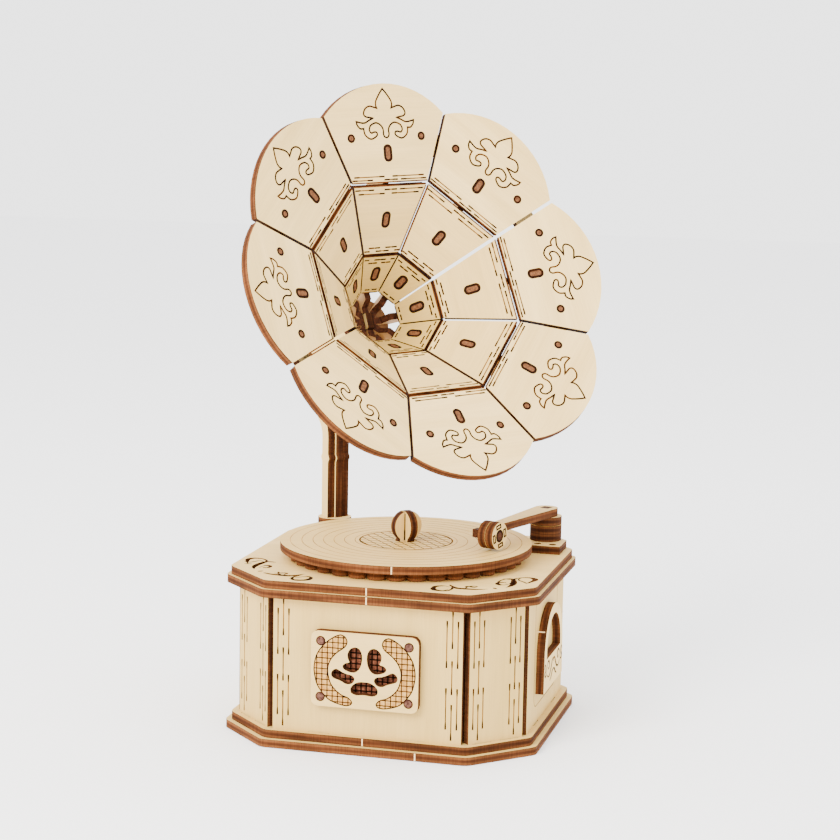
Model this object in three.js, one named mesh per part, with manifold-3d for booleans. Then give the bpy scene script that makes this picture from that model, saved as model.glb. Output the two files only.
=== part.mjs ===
// A disc music box built like a small gramophone from 3 mm birch plywood: an eight sided case,
// a record that turns, a tone arm that swings, a bent neck and a horn of eight petals.
// Millimetres, +Z up, front towards -Y, origin in the middle of the underside.

import * as THREE from 'three';
import { mergeVertices } from 'three/addons/utils/BufferGeometryUtils.js';
import Module from 'manifold-3d';

const wasm = await Module();
wasm.setup();

// Sheet, gaps and cutters
const ply = 3;
const seatGap = 0.3;
const overrun = 1;

// Case
const caseHalfWidth = 53.6;
const caseHalfDepth = 51.6;
const caseCornerCut = 17.8;
const wallHeight = 48.2;
const slabRounding = 4.3;
const footOverhang = 4.3;
const plinthOverhang = 2.4;
const corniceOverhang = 4.1;
const deckOverhang = 2.8;
const wallTabWidth = 7;
const wallTabPlaceShare = 0.25;

// Front grille plate
const grilleWidth = 39;
const grilleHeight = 27.1;
const grilleRise = 16.6;
const grilleRounding = 2.5;

// Grille cut-outs, in shares of half the plate: a boot and a side bean on each side, one below
const bootShares = [
  [0.174, 0.631], [0.092, 0.583], [0.046, 0.435], [0.051, 0.221], [0.097, 0.052], [0.185, -0.044],
  [0.303, -0.026], [0.395, 0.044], [0.405, 0.125], [0.344, 0.196], [0.282, 0.218], [0.308, 0.31],
  [0.318, 0.435], [0.267, 0.576],
];
const sideBeanShares = [
  [0.523, 0.026], [0.426, -0.041], [0.328, -0.096], [0.231, -0.122], [0.182, -0.192], [0.197, -0.288],
  [0.262, -0.358], [0.349, -0.358], [0.421, -0.303], [0.503, -0.262], [0.585, -0.221], [0.621, -0.133],
  [0.595, -0.03],
];
const lowerBeanShares = [
  [0, -0.273], [0.103, -0.284], [0.205, -0.362], [0.256, -0.472], [0.241, -0.583], [0.149, -0.638],
  [0.041, -0.624], [-0.041, -0.624], [-0.149, -0.638], [-0.241, -0.583], [-0.256, -0.472],
  [-0.205, -0.362], [-0.103, -0.284],
];

// Side arch plate
const archHalfWidth = 16.9;
const archFlare = 0.5;
const archRise = 17;
const archSpringHeight = 13;
const archWindowRadius = 12.7;
const archWindowSpring = 13.5;
const archWindowSill = 11.8;

// Deck scrolls, in shares of their reach: along the corner edge, then in from it
const scrollReach = 21;
const scrollWidth = 2.3;
const rearScrollShares = [
  {
    along: [
      [0.66, 0.33], [0.81, 0.4], [0.95, 0.48], [1, 0.58], [0.97, 0.67], [0.88, 0.73], [0.76, 0.74],
      [0.66, 0.7], [0.61, 0.62], [0.51, 0.46], [0.41, 0.35], [0.3, 0.27], [0.2, 0.23],
    ],
    widths: [0.15, 0.5, 0.9, 1, 0.75, 0.5, 0.4, 0.5, 0.85, 1, 0.9, 0.55, 0.15],
  },
  { along: [[0.64, 0.7], [0.58, 0.76], [0.52, 0.81]], widths: [0.6, 0.6, 0.15] },
  {
    along: [[0.22, 0.4], [0.2, 0.5], [0.27, 0.58], [0.36, 0.58], [0.4, 0.5]],
    widths: [0.3, 0.6, 0.6, 0.6, 0.2],
  },
];
const frontScrollShares = [
  {
    along: [
      [0.13, 0.26], [0.27, 0.3], [0.38, 0.37], [0.48, 0.46], [0.55, 0.53], [0.56, 0.66], [0.53, 0.82],
    ],
    widths: [0.15, 0.6, 0.9, 1, 0.9, 0.6, 0.15],
  },
  {
    along: [
      [0.6, 0.64], [0.64, 0.56], [0.72, 0.49], [0.81, 0.45], [0.9, 0.5],
      [0.95, 0.59], [0.94, 0.68], [0.86, 0.77], [0.76, 0.8], [0.68, 0.77],
    ],
    widths: [0.3, 0.4, 0.4, 0.5, 0.75, 0.95, 0.9, 0.6, 0.4, 0.15],
  },
  {
    along: [[0.18, 0.5], [0.27, 0.47], [0.3, 0.53], [0.34, 0.58], [0.4, 0.54]],
    widths: [0.2, 0.6, 0.6, 0.6, 0.2],
  },
];
const stepsPerSpinePoint = 2;
const scrollTickShares = { along: [[0, 0.2], [0, 0.25], [0, 0.3]], widths: [0.3, 0.6, 0.3] };

// Turntable
const recordClearance = 5.13;
const platterInset = 3;
const platterLobes = 36;
const platterLobeGap = 0.2;
const pointsPerLobe = 7;
const spindleRadius = 2;
const knobRadius = 5.7;
const knobRise = 5.6;
const knobTabWidth = 7;
const knobAzimuth = 46;

// Tone arm
const armPivotInsetX = 8;
const armPivotInsetY = 16.2;
const armHeading = 253.4;
const armReach = 44.7;
const armPivotRadius = 4.4;
const armEndWidth = 4.2;
const pedestalRadius = 6;
const pedestalDiscs = 2;
const pivotRadius = 2;
const pivotTabLength = 3.4;
const soundboxRadius = 5.05;
const soundboxSkew = 4;
const soundboxDrop = 1.7;
const stylusPegSide = 3;
const stylusPegProud = 4.5;
const armPlateReach = { x: 8, y: 13 };
const armPlateShares = [[-0.65, -1], [1, -1], [1, 0.07], [0.075, 0.64], [-0.75, 0.64]];
const armPlateHoleRadius = 1.45;
const armPlateHoleShares = [[-0.15, -0.7], [0.575, -0.72]];

// Column and neck
const columnInsetX = 14.6;
const columnInsetY = 13.6;
const columnFootRadius = 6.5;
const columnFootDiscs = 2;
const neckDepth = 4.4;
const neckCoreDepth = 5.9;
const neckTabDepth = 4.4;
const neckStraightRise = 31.5;
const neckBackRadius = 10.5;
const neckBackTurn = 42;
const neckForwardRadius = 11.4;
const neckProud = 2.6;
const collarRise = 23.5;
const collarHalfLength = 1.7;
const collarSwell = 0.8;
const neckGlueGap = 0.2;

// Horn
const hornHeading = 47.49;
const hornElevation = 25.24;
const hornRoll = 2.47;
const hornReach = 64;
const hornHeight = 164.18;
const hornSides = 8;
const throatApothem = 9.5;
const throatLength = 17.15;
const throatTilt = 55.5;
const bellLength = 27.65;
const bellTilt = 40.6;
const petalLength = 25.3;
const petalTilt = 17.35;
const petalRise = 11.5;
const seamGap = 1.2;
const jointGap = 0.6;
const throatSlit = 0.6;
const throatSlitStart = 1.5;
const ribThickness = 2.6;
const ribTabLength = 4;
const ribSlotLength = 5.9;
const ribSlotRounding = 1.3;
const ribPetalPlace = 11.3;
const ribEnd = 17;
const ribEndDepth = 3.4;
const ribBellyRadius = 31;
const ribBellyDepth = 37;
const ribShoulderRadius = 7.6;
const hubRadius = 5.5;
const hubPlateRadius = 9.3;
const ribProud = 1;
const hubDepth = 6.84;
const linkPegPlace = 15.3;
const linkPegRise = 17.1;
const linkPegRadius = 1.3;
const linkWidth = 8;
const linkEndReach = 3.5;

// Movement, standing on the plinth slab round the spindle
const bedplateThickness = 2.5;
const bedplateFront = 15;
const bedplateBack = 21;
const bedplateLeft = 21;
const bedplateRounding = 3;
const drumRadius = 8;
const drumHeight = 15;
const rimTeeth = 40;
const rimRadius = 13;
const rimThickness = 1.5;
const fanTeeth = 10;
const fanAzimuth = 135;
const fanShaftRadius = 0.9;
const fanShaftHeight = 17;
const fanBladeRadius = 5;
const fanBladeHeight = 8;
const fanBladeThickness = 0.8;
const fanBladeRise = 6;
const crownTeeth = 36;
const crownRadius = 10.5;
const crownFaceWidth = 3;
const pinionTeeth = 18;
const pinionWidth = 2.4;
const toothAddendum = 0.4;
const toothDedendum = 0.8;
const toothShare = 0.35;
const toothFootShare = 1.3;
const toothCrestShare = 0.7;
const cylinderRadius = 6.5;
const cylinderEndMargin = 0.5;
const arborRadius = 1.2;
const bearingThickness = 1.5;
const bearingWidth = 6;
const combTeeth = 18;
const combPitch = 1;
const combSlit = 0.35;
const combToothLength = 11;
const combBodyDepth = 8;
const combThickness = 1.2;
const combTipGap = 0.9;
const tunePinSide = 0.4;
const turnPerPin = 137.5;
const tunePinHeight = 0.5;
const tunePinsPerTooth = 2;

// Levels of the stack, from the underside up
const plinthLevel = ply;
const wallLevel = plinthLevel + ply;
const corniceLevel = wallLevel + wallHeight;
const deckLevel = corniceLevel + ply;
const deckTop = deckLevel + ply;
const platterLevel = deckTop + seatGap;
const recordLevel = platterLevel + ply;
const recordTop = recordLevel + ply;
const knobCentre = recordTop + knobRise;

// The cylinder is as long as its row of tuned teeth, and a little past them
const combWidth = combTeeth * combPitch;
const cylinderLength = combWidth + 2 * cylinderEndMargin;

// Places set by the case: the arm's pivot and the column stand in its back corners, clear of the record
const armPivotX = caseHalfWidth - armPivotInsetX;
const armPivotY = caseHalfDepth - armPivotInsetY;
const columnX = columnInsetX - caseHalfWidth;
const columnY = caseHalfDepth - columnInsetY;
const recordRadius = Math.hypot(armPivotX, armPivotY) - pedestalRadius - recordClearance;
const platterRadius = recordRadius - platterInset;

const model = new THREE.Group();

// Materials
const birch = (color = 0xe2c48f) => new THREE.MeshStandardMaterial({ color, roughness: 0.8, metalness: 0 });
const steel = () => new THREE.MeshStandardMaterial({ color: 0xb8bbbf, roughness: 0.35, metalness: 0.9 });
const brass = () => new THREE.MeshStandardMaterial({ color: 0xc8a350, roughness: 0.35, metalness: 0.9 });
const zinc = () => new THREE.MeshStandardMaterial({ color: 0x9a9ca0, roughness: 0.5, metalness: 0.8 });

// Small helpers for angles, solids and placing
const radians = THREE.MathUtils.degToRad;
const point = (x, y) => new THREE.Vector2(x, y);
const space = (x, y, z) => new THREE.Vector3(x, y, z);
const turned = (degrees, length = 1) => point(length, 0).rotateAround(point(0, 0), radians(degrees));
const range = (count) => Array.from({ length: count }, (_, index) => index);

function solidOf(geometry) {
  const bare = geometry.clone();
  bare.deleteAttribute('normal');
  bare.deleteAttribute('uv');
  const merged = mergeVertices(bare);
  const index = merged.index.array;
  const corners = [];
  for (let i = 0; i < index.length; i += 3) {
    const [a, b, c] = [index[i], index[i + 1], index[i + 2]];
    if (a !== b && b !== c && c !== a) corners.push(a, b, c);
  }
  return new wasm.Manifold(new wasm.Mesh({
    numProp: 3,
    vertProperties: Float32Array.from(merged.attributes.position.array),
    triVerts: Uint32Array.from(corners),
  }));
}

function geometryOf(solid) {
  const mesh = solid.getMesh();
  const geometry = new THREE.BufferGeometry();
  geometry.setAttribute('position', new THREE.BufferAttribute(Float32Array.from(mesh.vertProperties), 3));
  geometry.setIndex(new THREE.BufferAttribute(Uint32Array.from(mesh.triVerts), 1));
  geometry.computeVertexNormals();
  return geometry;
}

function addPiece(name, form, material, parent = model) {
  const mesh = new THREE.Mesh(form.isBufferGeometry ? form : geometryOf(form), material);
  mesh.name = name;
  parent.add(mesh);
  return mesh;
}

function addGroup(matrix, parent = model) {
  const group = new THREE.Group();
  matrix.decompose(group.position, group.quaternion, group.scale);
  parent.add(group);
  return group;
}

const frameOf = (x, y, z, origin) => new THREE.Matrix4().makeBasis(x, y, z).setPosition(origin);
const placed = (geometry, matrix) => geometry.clone().applyMatrix4(matrix);

function sheet(shape, thickness, level = 0, curveSegments = 8) {
  const geometry = new THREE.ExtrudeGeometry(shape, { depth: thickness, bevelEnabled: false, curveSegments });
  return geometry.translate(0, 0, level);
}

// A sheet with holes cut through it
function pierced(shape, holes, thickness, level = 0, curveSegments = 8) {
  return holes.reduce((plate, hole) => {
    const cutter = sheet(hole, thickness + 2 * overrun, level - overrun, curveSegments);
    return plate.subtract(solidOf(cutter));
  }, solidOf(sheet(shape, thickness, level, curveSegments)));
}

// Flat outlines
function rounded(points, radius, steps = 3) {
  return new THREE.Shape(points.flatMap((corner, i) => {
    const before = points.at(i - 1).clone().sub(corner).normalize();
    const after = points[(i + 1) % points.length].clone().sub(corner).normalize();
    const half = before.angleTo(after) / 2;
    const middle = before.clone().add(after).normalize().multiplyScalar(radius / Math.sin(half)).add(corner);
    const start = before.multiplyScalar(radius / Math.tan(half)).add(corner).sub(middle);
    const end = after.multiplyScalar(radius / Math.tan(half)).add(corner).sub(middle);
    const turn = Math.sign(start.cross(end)) * (Math.PI - 2 * half);
    return range(steps + 1).map((step) =>
      start.clone().rotateAround(point(0, 0), turn * step / steps).add(middle));
  }));
}

function rectangle(width, height, centre = point(0, 0)) {
  const signs = [[-1, -1], [1, -1], [1, 1], [-1, 1]];
  return signs.map(([x, y]) => point(centre.x + x * width / 2, centre.y + y * height / 2));
}

const circle = (radius, sides = 28, centre = point(0, 0)) => new THREE.Shape(
  range(sides).map((i) => turned(i * 360 / sides, radius).add(centre)));

const spun = (points, degrees, centre) => points.map((each) =>
  each.clone().rotateAround(point(0, 0), radians(degrees)).add(centre));

// A closed outline that runs smoothly through its points
function smoothLoop(points, stepsPerPoint = 2) {
  const loop = new THREE.CatmullRomCurve3(points.map(({ x, y }) => space(x, y, 0)), true);
  const outline = loop.getPoints(points.length * stepsPerPoint).slice(0, -1);
  return new THREE.Shape(outline.map(({ x, y }) => point(x, y)));
}

// A stroke that swells and tapers along a smooth line through its points
function stroke(spine, widths, width) {
  const steps = stepsPerSpinePoint * (spine.length - 1);
  const line = new THREE.SplineCurve(spine);
  const swell = new THREE.SplineCurve(widths.map((each, i) => point(i / (widths.length - 1), each)));
  const sides = range(steps + 1).map((i) => {
    const at = line.getPoint(i / steps);
    const heading = line.getTangent(i / steps);
    const half = swell.getPoint(i / steps).y * width / 2;
    const across = point(-heading.y, heading.x).multiplyScalar(half);
    return [at.clone().sub(across), at.clone().add(across)];
  });
  const right = sides.map((side) => side[0]);
  const left = sides.map((side) => side[1]).reverse();
  return new THREE.Shape([...right, ...left]);
}

// Case: eight walls standing between slabs that step out past them
function caseCorners(offset) {
  const x = caseHalfWidth + offset;
  const y = caseHalfDepth + offset;
  const cut = caseCornerCut + offset * (2 - Math.SQRT2);
  return [
    point(cut - x, -y), point(x - cut, -y), point(x, cut - y), point(x, y - cut),
    point(x - cut, y), point(cut - x, y), point(-x, y - cut), point(-x, cut - y),
  ];
}

const wallNames = [
  'wall_front', 'wall_front_right', 'wall_right', 'wall_back_right',
  'wall_back', 'wall_back_left', 'wall_left', 'wall_front_left',
];

const walls = wallNames.map((name, i) => {
  const corners = caseCorners(-ply);
  const from = corners[i];
  const to = corners[(i + 1) % corners.length];
  const along = to.clone().sub(from).normalize();
  return { name, along, centre: from.clone().add(to).divideScalar(2), run: from.distanceTo(to) };
});

const wallFrame = ({ along, centre }) => frameOf(
  space(along.x, along.y, 0), space(0, 0, 1), space(along.y, -along.x, 0),
  space(centre.x, centre.y, wallLevel),
);

function wallShape({ run }) {
  const half = (run - seatGap) / 2;
  const tab = ply - seatGap;
  const place = run * wallTabPlaceShare;
  const tabHalf = wallTabWidth / 2;
  const lower = [-place, place].flatMap((x) => [
    [x - tabHalf, 0], [x - tabHalf, -tab], [x + tabHalf, -tab], [x + tabHalf, 0],
  ]);
  const upper = lower.map(([x, y]) => [-x, wallHeight - y]);
  const outline = [[-half, 0], ...lower, [half, 0], [half, wallHeight], ...upper, [-half, wallHeight]];
  return new THREE.Shape(outline.map(([x, y]) => point(x, y)));
}

function wallSlots() {
  return walls.flatMap(({ along, centre, run }) => [-1, 1].map((side) => {
    const out = point(along.y, -along.x).multiplyScalar(ply / 2);
    const middle = centre.clone().add(out).addScaledVector(along, side * run * wallTabPlaceShare);
    const slot = rectangle(wallTabWidth + 2 * seatGap, ply + 2 * seatGap);
    return new THREE.Shape(spun(slot, THREE.MathUtils.radToDeg(along.angle()), middle));
  }));
}

const slab = (overhang, holes, level) => pierced(
  rounded(caseCorners(overhang), slabRounding), holes, ply, level);

function scrollHoles() {
  const sides = [{ corner: 7, rear: -1 }, { corner: 1, rear: 1 }];
  return sides.flatMap(({ corner, rear }) => {
    const corners = caseCorners(deckOverhang);
    const from = corners[corner];
    const to = corners[(corner + 1) % corners.length];
    const along = to.clone().sub(from).normalize();
    const inward = point(-along.y, along.x);
    const middle = from.clone().add(to).divideScalar(2);
    const cut = ({ along: spine, widths }, side) => stroke(spine.map(([t, n]) => middle.clone()
      .addScaledVector(along, t * side * scrollReach)
      .addScaledVector(inward, n * scrollReach)), widths, scrollWidth);
    return [
      ...rearScrollShares.map((each) => cut(each, rear)),
      ...frontScrollShares.map((each) => cut(each, -rear)),
      cut(scrollTickShares, 1),
    ];
  });
}

const column = point(columnX, columnY);
const armPivot = point(armPivotX, armPivotY);
const spindleHole = () => circle(spindleRadius + seatGap, 16);
const pivotHole = () => circle(pivotRadius + seatGap, 16, armPivot);
const neckSlot = (centre) => new THREE.Shape(spun(
  rectangle(neckTabDepth + 2 * seatGap, ply + 2 * seatGap), hornHeading - 90, centre));

addPiece('foot_slab', slab(footOverhang, [], 0), birch());
addPiece('plinth_slab', slab(plinthOverhang, wallSlots(), plinthLevel), birch());
addPiece('cornice_slab', slab(corniceOverhang, [spindleHole(), ...wallSlots()], corniceLevel), birch());
addPiece('deck_slab', slab(
  deckOverhang, [spindleHole(), pivotHole(), neckSlot(column), ...scrollHoles()], deckLevel), birch());

walls.forEach((wall) => addPiece(wall.name, sheet(wallShape(wall), ply), birch(), addGroup(wallFrame(wall))));

// Grille plate on the front wall, with its bean shaped cut-outs
function grilleSolid() {
  const mirrored = (shares) => shares.map(([x, y]) => [-x, y]).reverse();
  const sides = [bootShares, sideBeanShares];
  const outlines = [...sides, ...sides.map(mirrored), lowerBeanShares];
  const beans = outlines.map((shares) => smoothLoop(
    shares.map(([x, y]) => point(x * grilleWidth / 2, y * grilleHeight / 2))));
  return pierced(rounded(rectangle(grilleWidth, grilleHeight), grilleRounding), beans, ply);
}

const grilleFrame = wallFrame(walls[0]).multiply(new THREE.Matrix4().makeTranslation(
  0, grilleRise - wallLevel + grilleHeight / 2, ply));
addPiece('grille_plate', grilleSolid(), birch(), addGroup(grilleFrame));

// Arch plate on the right wall, with a half round window
function archSolid() {
  const shape = new THREE.Shape();
  shape.moveTo(-archHalfWidth - archFlare, 0);
  shape.lineTo(archHalfWidth + archFlare, 0);
  shape.absarc(0, archSpringHeight, archHalfWidth, 0, Math.PI);
  shape.closePath();
  const window = new THREE.Shape();
  window.moveTo(-archWindowRadius, archWindowSill);
  window.lineTo(archWindowRadius, archWindowSill);
  window.absarc(0, archWindowSpring, archWindowRadius, 0, Math.PI);
  window.closePath();
  return pierced(shape, [window], ply, 0, 10);
}

const archFrame = wallFrame(walls[2]).multiply(new THREE.Matrix4().makeTranslation(
  0, archRise - wallLevel, ply));
addPiece('arch_plate', archSolid(), birch(), addGroup(archFrame));

// Turntable: scalloped platter, record, cross knob and spindle
// Each lobe is half a circle; its neighbour starts a narrow gap further on
function platterShape() {
  const pitch = 2 * Math.sin(Math.PI / platterLobes);
  const lobeRadius = (platterRadius * pitch - platterLobeGap) / (2 + pitch);
  const outline = range(platterLobes).flatMap((lobe) => {
    const facing = lobe * 360 / platterLobes;
    const middle = turned(facing, platterRadius - lobeRadius);
    return range(pointsPerLobe).map((i) =>
      turned(facing - 90 + i * 180 / (pointsPerLobe - 1), lobeRadius).add(middle));
  });
  return new THREE.Shape(outline);
}

function recordSlot() {
  const arm = knobTabWidth / 2 + seatGap;
  const half = ply / 2 + seatGap;
  const quarter = [[half, half], [half, arm], [-half, arm]];
  const corners = quarter.map(([x, y]) => point(x, y));
  return new THREE.Shape(range(4).flatMap((i) => spun(corners, knobAzimuth + i * 90, point(0, 0))));
}

// Each knob disc is halved over the other: one is slotted from below, one from above
function knobShape(slottedBelow) {
  const foot = recordLevel + seatGap - knobCentre;
  const tab = knobTabWidth / 2;
  const half = ply / 2 + seatGap;
  const joinAngle = Math.acos(tab / knobRadius);
  const lip = Math.acos(half / knobRadius);
  const shape = new THREE.Shape();
  shape.moveTo(tab, foot);
  if (slottedBelow) {
    shape.absarc(0, 0, knobRadius, -joinAngle, Math.PI + joinAngle);
    shape.lineTo(-tab, foot);
    shape.lineTo(-half, foot);
    shape.lineTo(-half, seatGap / 2);
    shape.lineTo(half, seatGap / 2);
    shape.lineTo(half, foot);
  } else {
    shape.absarc(0, 0, knobRadius, -joinAngle, lip);
    shape.lineTo(half, -seatGap / 2);
    shape.lineTo(-half, -seatGap / 2);
    shape.absarc(0, 0, knobRadius, Math.PI - lip, Math.PI + joinAngle);
    shape.lineTo(-tab, foot);
  }
  shape.closePath();
  return shape;
}

const uprightFrame = (degrees, origin) => {
  const along = turned(degrees);
  return frameOf(space(along.x, along.y, 0), space(0, 0, 1), space(along.y, -along.x, 0), origin);
};

addPiece('platter', pierced(platterShape(), [spindleHole()], ply, platterLevel), birch());
addPiece('record_disc', pierced(circle(recordRadius, 72), [recordSlot()], ply, recordLevel), birch());
['knob_disc_a', 'knob_disc_b'].forEach((name, i) => {
  const frame = uprightFrame(knobAzimuth - 90 + i * 90, space(0, 0, knobCentre));
  addPiece(name, sheet(knobShape(i === 0), ply, -ply / 2), birch(), addGroup(frame));
});

// Tone arm: mount plate and pedestal on the deck, and the arm that swings on them
const armPlateTop = deckTop + ply;
const pedestalTop = armPlateTop + pedestalDiscs * ply;
const swivelLevel = pedestalTop + seatGap;
const armLevel = swivelLevel + ply;
const armTop = armLevel + ply;

function armPlateSolid() {
  const onDeck = ([x, y]) => point(x * armPlateReach.x, y * armPlateReach.y).add(armPivot);
  const holes = armPlateHoleShares.map((each) => circle(armPlateHoleRadius, 12, onDeck(each)));
  return pierced(new THREE.Shape(armPlateShares.map(onDeck)), [pivotHole(), ...holes], ply, deckTop);
}

addPiece('arm_mount_plate', armPlateSolid(), birch());
range(pedestalDiscs).forEach((i) => {
  const disc = pierced(circle(pedestalRadius, 28, armPivot), [pivotHole()], ply, armPlateTop + i * ply);
  addPiece(`pedestal_disc_${i + 1}`, disc, birch());
});

const armFrame = new THREE.Matrix4().makeRotationZ(radians(armHeading)).setPosition(armPivotX, armPivotY, 0);
const armGroup = addGroup(armFrame);
const pivotSlot = () => new THREE.Shape(rectangle(pivotTabLength + 2 * seatGap, ply + 2 * seatGap));

// The arm tapers from its pivot end to a short tongue that turns into the soundbox
function armShape() {
  const skew = radians(soundboxSkew);
  const end = armReach - soundboxRadius - seatGap - ply / 2 * Math.sin(skew);
  const aim = point(Math.cos(skew), -Math.sin(skew));
  const across = point(Math.sin(skew), Math.cos(skew)).multiplyScalar(ply / 2);
  const tip = point(armReach, 0).addScaledVector(aim, -stylusPegSide / 2 - seatGap);
  const base = point(armReach, 0).addScaledVector(aim, (end - armReach) / aim.x);
  const shape = new THREE.Shape();
  shape.absarc(0, 0, armPivotRadius, Math.PI / 2, Math.PI * 3 / 2);
  const corners = [
    point(end, -armEndWidth / 2), point(end, base.y - across.length() / aim.x),
    tip.clone().sub(across), tip.clone().add(across),
    point(end, base.y + across.length() / aim.x), point(end, armEndWidth / 2),
  ];
  corners.forEach(({ x, y }) => shape.lineTo(x, y));
  shape.closePath();
  return shape;
}

function pivotPost() {
  const foot = deckLevel + seatGap;
  const shaft = sheet(circle(pivotRadius, 16), swivelLevel - foot, foot);
  const tabLevel = swivelLevel - seatGap;
  const tab = sheet(new THREE.Shape(rectangle(pivotTabLength, ply)), armTop - tabLevel, tabLevel);
  return solidOf(shaft).add(solidOf(tab));
}

addPiece('swivel_disc', pierced(circle(pedestalRadius), [pivotSlot()], ply, swivelLevel), birch(), armGroup);
addPiece('tone_arm', pierced(armShape(), [pivotSlot()], ply, armLevel), birch(), armGroup);
addPiece('pivot_post', pivotPost(), birch(0xcfa56b), armGroup);

// Soundbox: two upright discs side by side and the square peg through both
const soundboxHeight = armLevel + ply / 2 - soundboxDrop;
const soundboxFrame = uprightFrame(-soundboxSkew, space(armReach, 0, soundboxHeight));
const soundboxGroup = addGroup(soundboxFrame, armGroup);
const backDiscStart = -ply / 2;
const frontDiscStart = backDiscStart - seatGap - ply;
const pegHole = () => new THREE.Shape(rectangle(stylusPegSide + 2 * seatGap, stylusPegSide + 2 * seatGap));

// The back disc is open from its rim to the peg, where the tongue of the arm comes in
function backDisc() {
  const low = armLevel - seatGap - soundboxHeight;
  const high = armTop + seatGap - soundboxHeight;
  const reach = soundboxRadius + overrun;
  const mouth = new THREE.Shape(rectangle(reach, high - low, point(-reach / 2, (high + low) / 2)));
  return pierced(circle(soundboxRadius), [mouth, pegHole()], ply, backDiscStart);
}

const frontDisc = pierced(circle(soundboxRadius), [pegHole()], ply, frontDiscStart);
addPiece('soundbox_front', frontDisc, birch(), soundboxGroup);
addPiece('soundbox_back', backDisc(), birch(), soundboxGroup);
addPiece('stylus_peg', sheet(
  new THREE.Shape(rectangle(stylusPegSide, stylusPegSide)),
  backDiscStart + ply + stylusPegProud - frontDiscStart, frontDiscStart), birch(0xcfa56b), soundboxGroup);

// Column foot: two discs that the neck stands on
const footTop = deckTop + columnFootDiscs * ply;
range(columnFootDiscs).forEach((i) => {
  const disc = pierced(circle(columnFootRadius, 28, column), [neckSlot(column)], ply, deckTop + i * ply);
  addPiece(`column_foot_${i + 1}`, disc, birch());
});

// Neck: three plies cut to one bent line, up from the foot, back, and forward onto the horn's axis
const hornSlope = radians(hornElevation);
const axisPoint = (along) => point(
  hornReach + along * Math.cos(hornSlope), hornHeight + along * Math.sin(hornSlope));

function neckStations(endAlong) {
  const backTurn = radians(neckBackTurn);
  const lastHeading = Math.PI / 2 - hornSlope;
  const straightTop = footTop + neckStraightRise;
  const onBack = (turn) => point(
    -neckBackRadius * (1 - Math.cos(turn)), straightTop + neckBackRadius * Math.sin(turn));
  const bend = point(
    Math.cos(backTurn) - Math.cos(lastHeading), Math.sin(backTurn) + Math.sin(lastHeading),
  ).multiplyScalar(neckForwardRadius);
  // The neck leans back in a straight line just far enough for the last bend to meet the horn's axis
  const short = onBack(backTurn).add(bend);
  const missing = axisPoint((short.x - hornReach) / Math.cos(hornSlope)).y - short.y;
  const lean = missing / (Math.cos(backTurn) + Math.sin(backTurn) * Math.tan(hornSlope));
  const bendStart = onBack(backTurn).add(point(-Math.sin(backTurn), Math.cos(backTurn)).multiplyScalar(lean));
  const collar = footTop + collarRise;
  const collarSteps = 6;
  const swelling = range(collarSteps + 1).map((i) => {
    const share = i / collarSteps * 2 - 1;
    const swell = collarSwell * Math.cos(share * Math.PI / 2) ** 2;
    return { x: 0, y: collar + share * collarHalfLength, heading: 0, swell };
  });
  const backSteps = 5;
  const back = range(backSteps + 1).map((i) => {
    const turn = backTurn * i / backSteps;
    return { ...onBack(turn), heading: -turn, swell: 0 };
  });
  const forwardSteps = 14;
  const forward = range(forwardSteps + 1).map((i) => {
    const heading = -backTurn + (lastHeading + backTurn) * i / forwardSteps;
    return {
      x: bendStart.x + neckForwardRadius * (Math.cos(backTurn) - Math.cos(heading)),
      y: bendStart.y + neckForwardRadius * (Math.sin(heading) + Math.sin(backTurn)), heading, swell: 0,
    };
  });
  const end = axisPoint(endAlong);
  return [
    { x: 0, y: footTop, heading: 0, swell: 0 }, ...swelling, ...back, ...forward,
    { x: end.x, y: end.y, heading: lastHeading, swell: 0 },
  ];
}

function neckShape(depth, endAlong, hasTab) {
  const sides = neckStations(endAlong).map(({ x, y, heading, swell }) => {
    const across = point(Math.cos(heading), -Math.sin(heading)).multiplyScalar(depth / 2 + swell);
    return [point(x, y).sub(across), point(x, y).add(across)];
  });
  const front = sides.map((side) => side[1]);
  const back = sides.map((side) => side[0]).reverse();
  const foot = deckLevel + seatGap;
  const half = neckTabDepth / 2;
  const tab = [point(-half, footTop), point(-half, foot), point(half, foot), point(half, footTop)];
  return new THREE.Shape([...front, ...back, ...(hasTab ? tab : [])]);
}

// Sizes along the horn: each ring of joints from the throat to the petals' outer corners
const sideAngle = Math.PI / hornSides;
const bands = [
  { length: throatLength, tilt: radians(throatTilt) },
  { length: bellLength, tilt: radians(bellTilt) },
  { length: petalLength, tilt: radians(petalTilt) },
];
const hornDepth = bands.reduce((sum, { length, tilt }) => sum + length * Math.sin(tilt), 0);
bands.reduce((start, band) => {
  band.start = start;
  return point(start.x + band.length * Math.cos(band.tilt), start.y + band.length * Math.sin(band.tilt));
}, point(throatApothem, -hornDepth));
const [throatBand, bellBand, petalBand] = bands;

const hubFront = -hornDepth - hubDepth;
const hubBack = hubFront - ply;
const ribFront = hubFront + ribProud;

const neckGroup = addGroup(uprightFrame(hornHeading - 90, space(columnX, columnY, 0)));
const neckCore = neckShape(neckCoreDepth, hubFront + neckProud, true);
const neckCheek = neckShape(neckDepth, hubBack - seatGap, false);
addPiece('neck_core', sheet(neckCore, ply, -ply / 2), birch(), neckGroup);
addPiece('neck_right', sheet(neckCheek, ply, ply / 2 + neckGlueGap), birch(), neckGroup);
addPiece('neck_left', sheet(neckCheek, ply, -ply * 1.5 - neckGlueGap), birch(), neckGroup);

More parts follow.
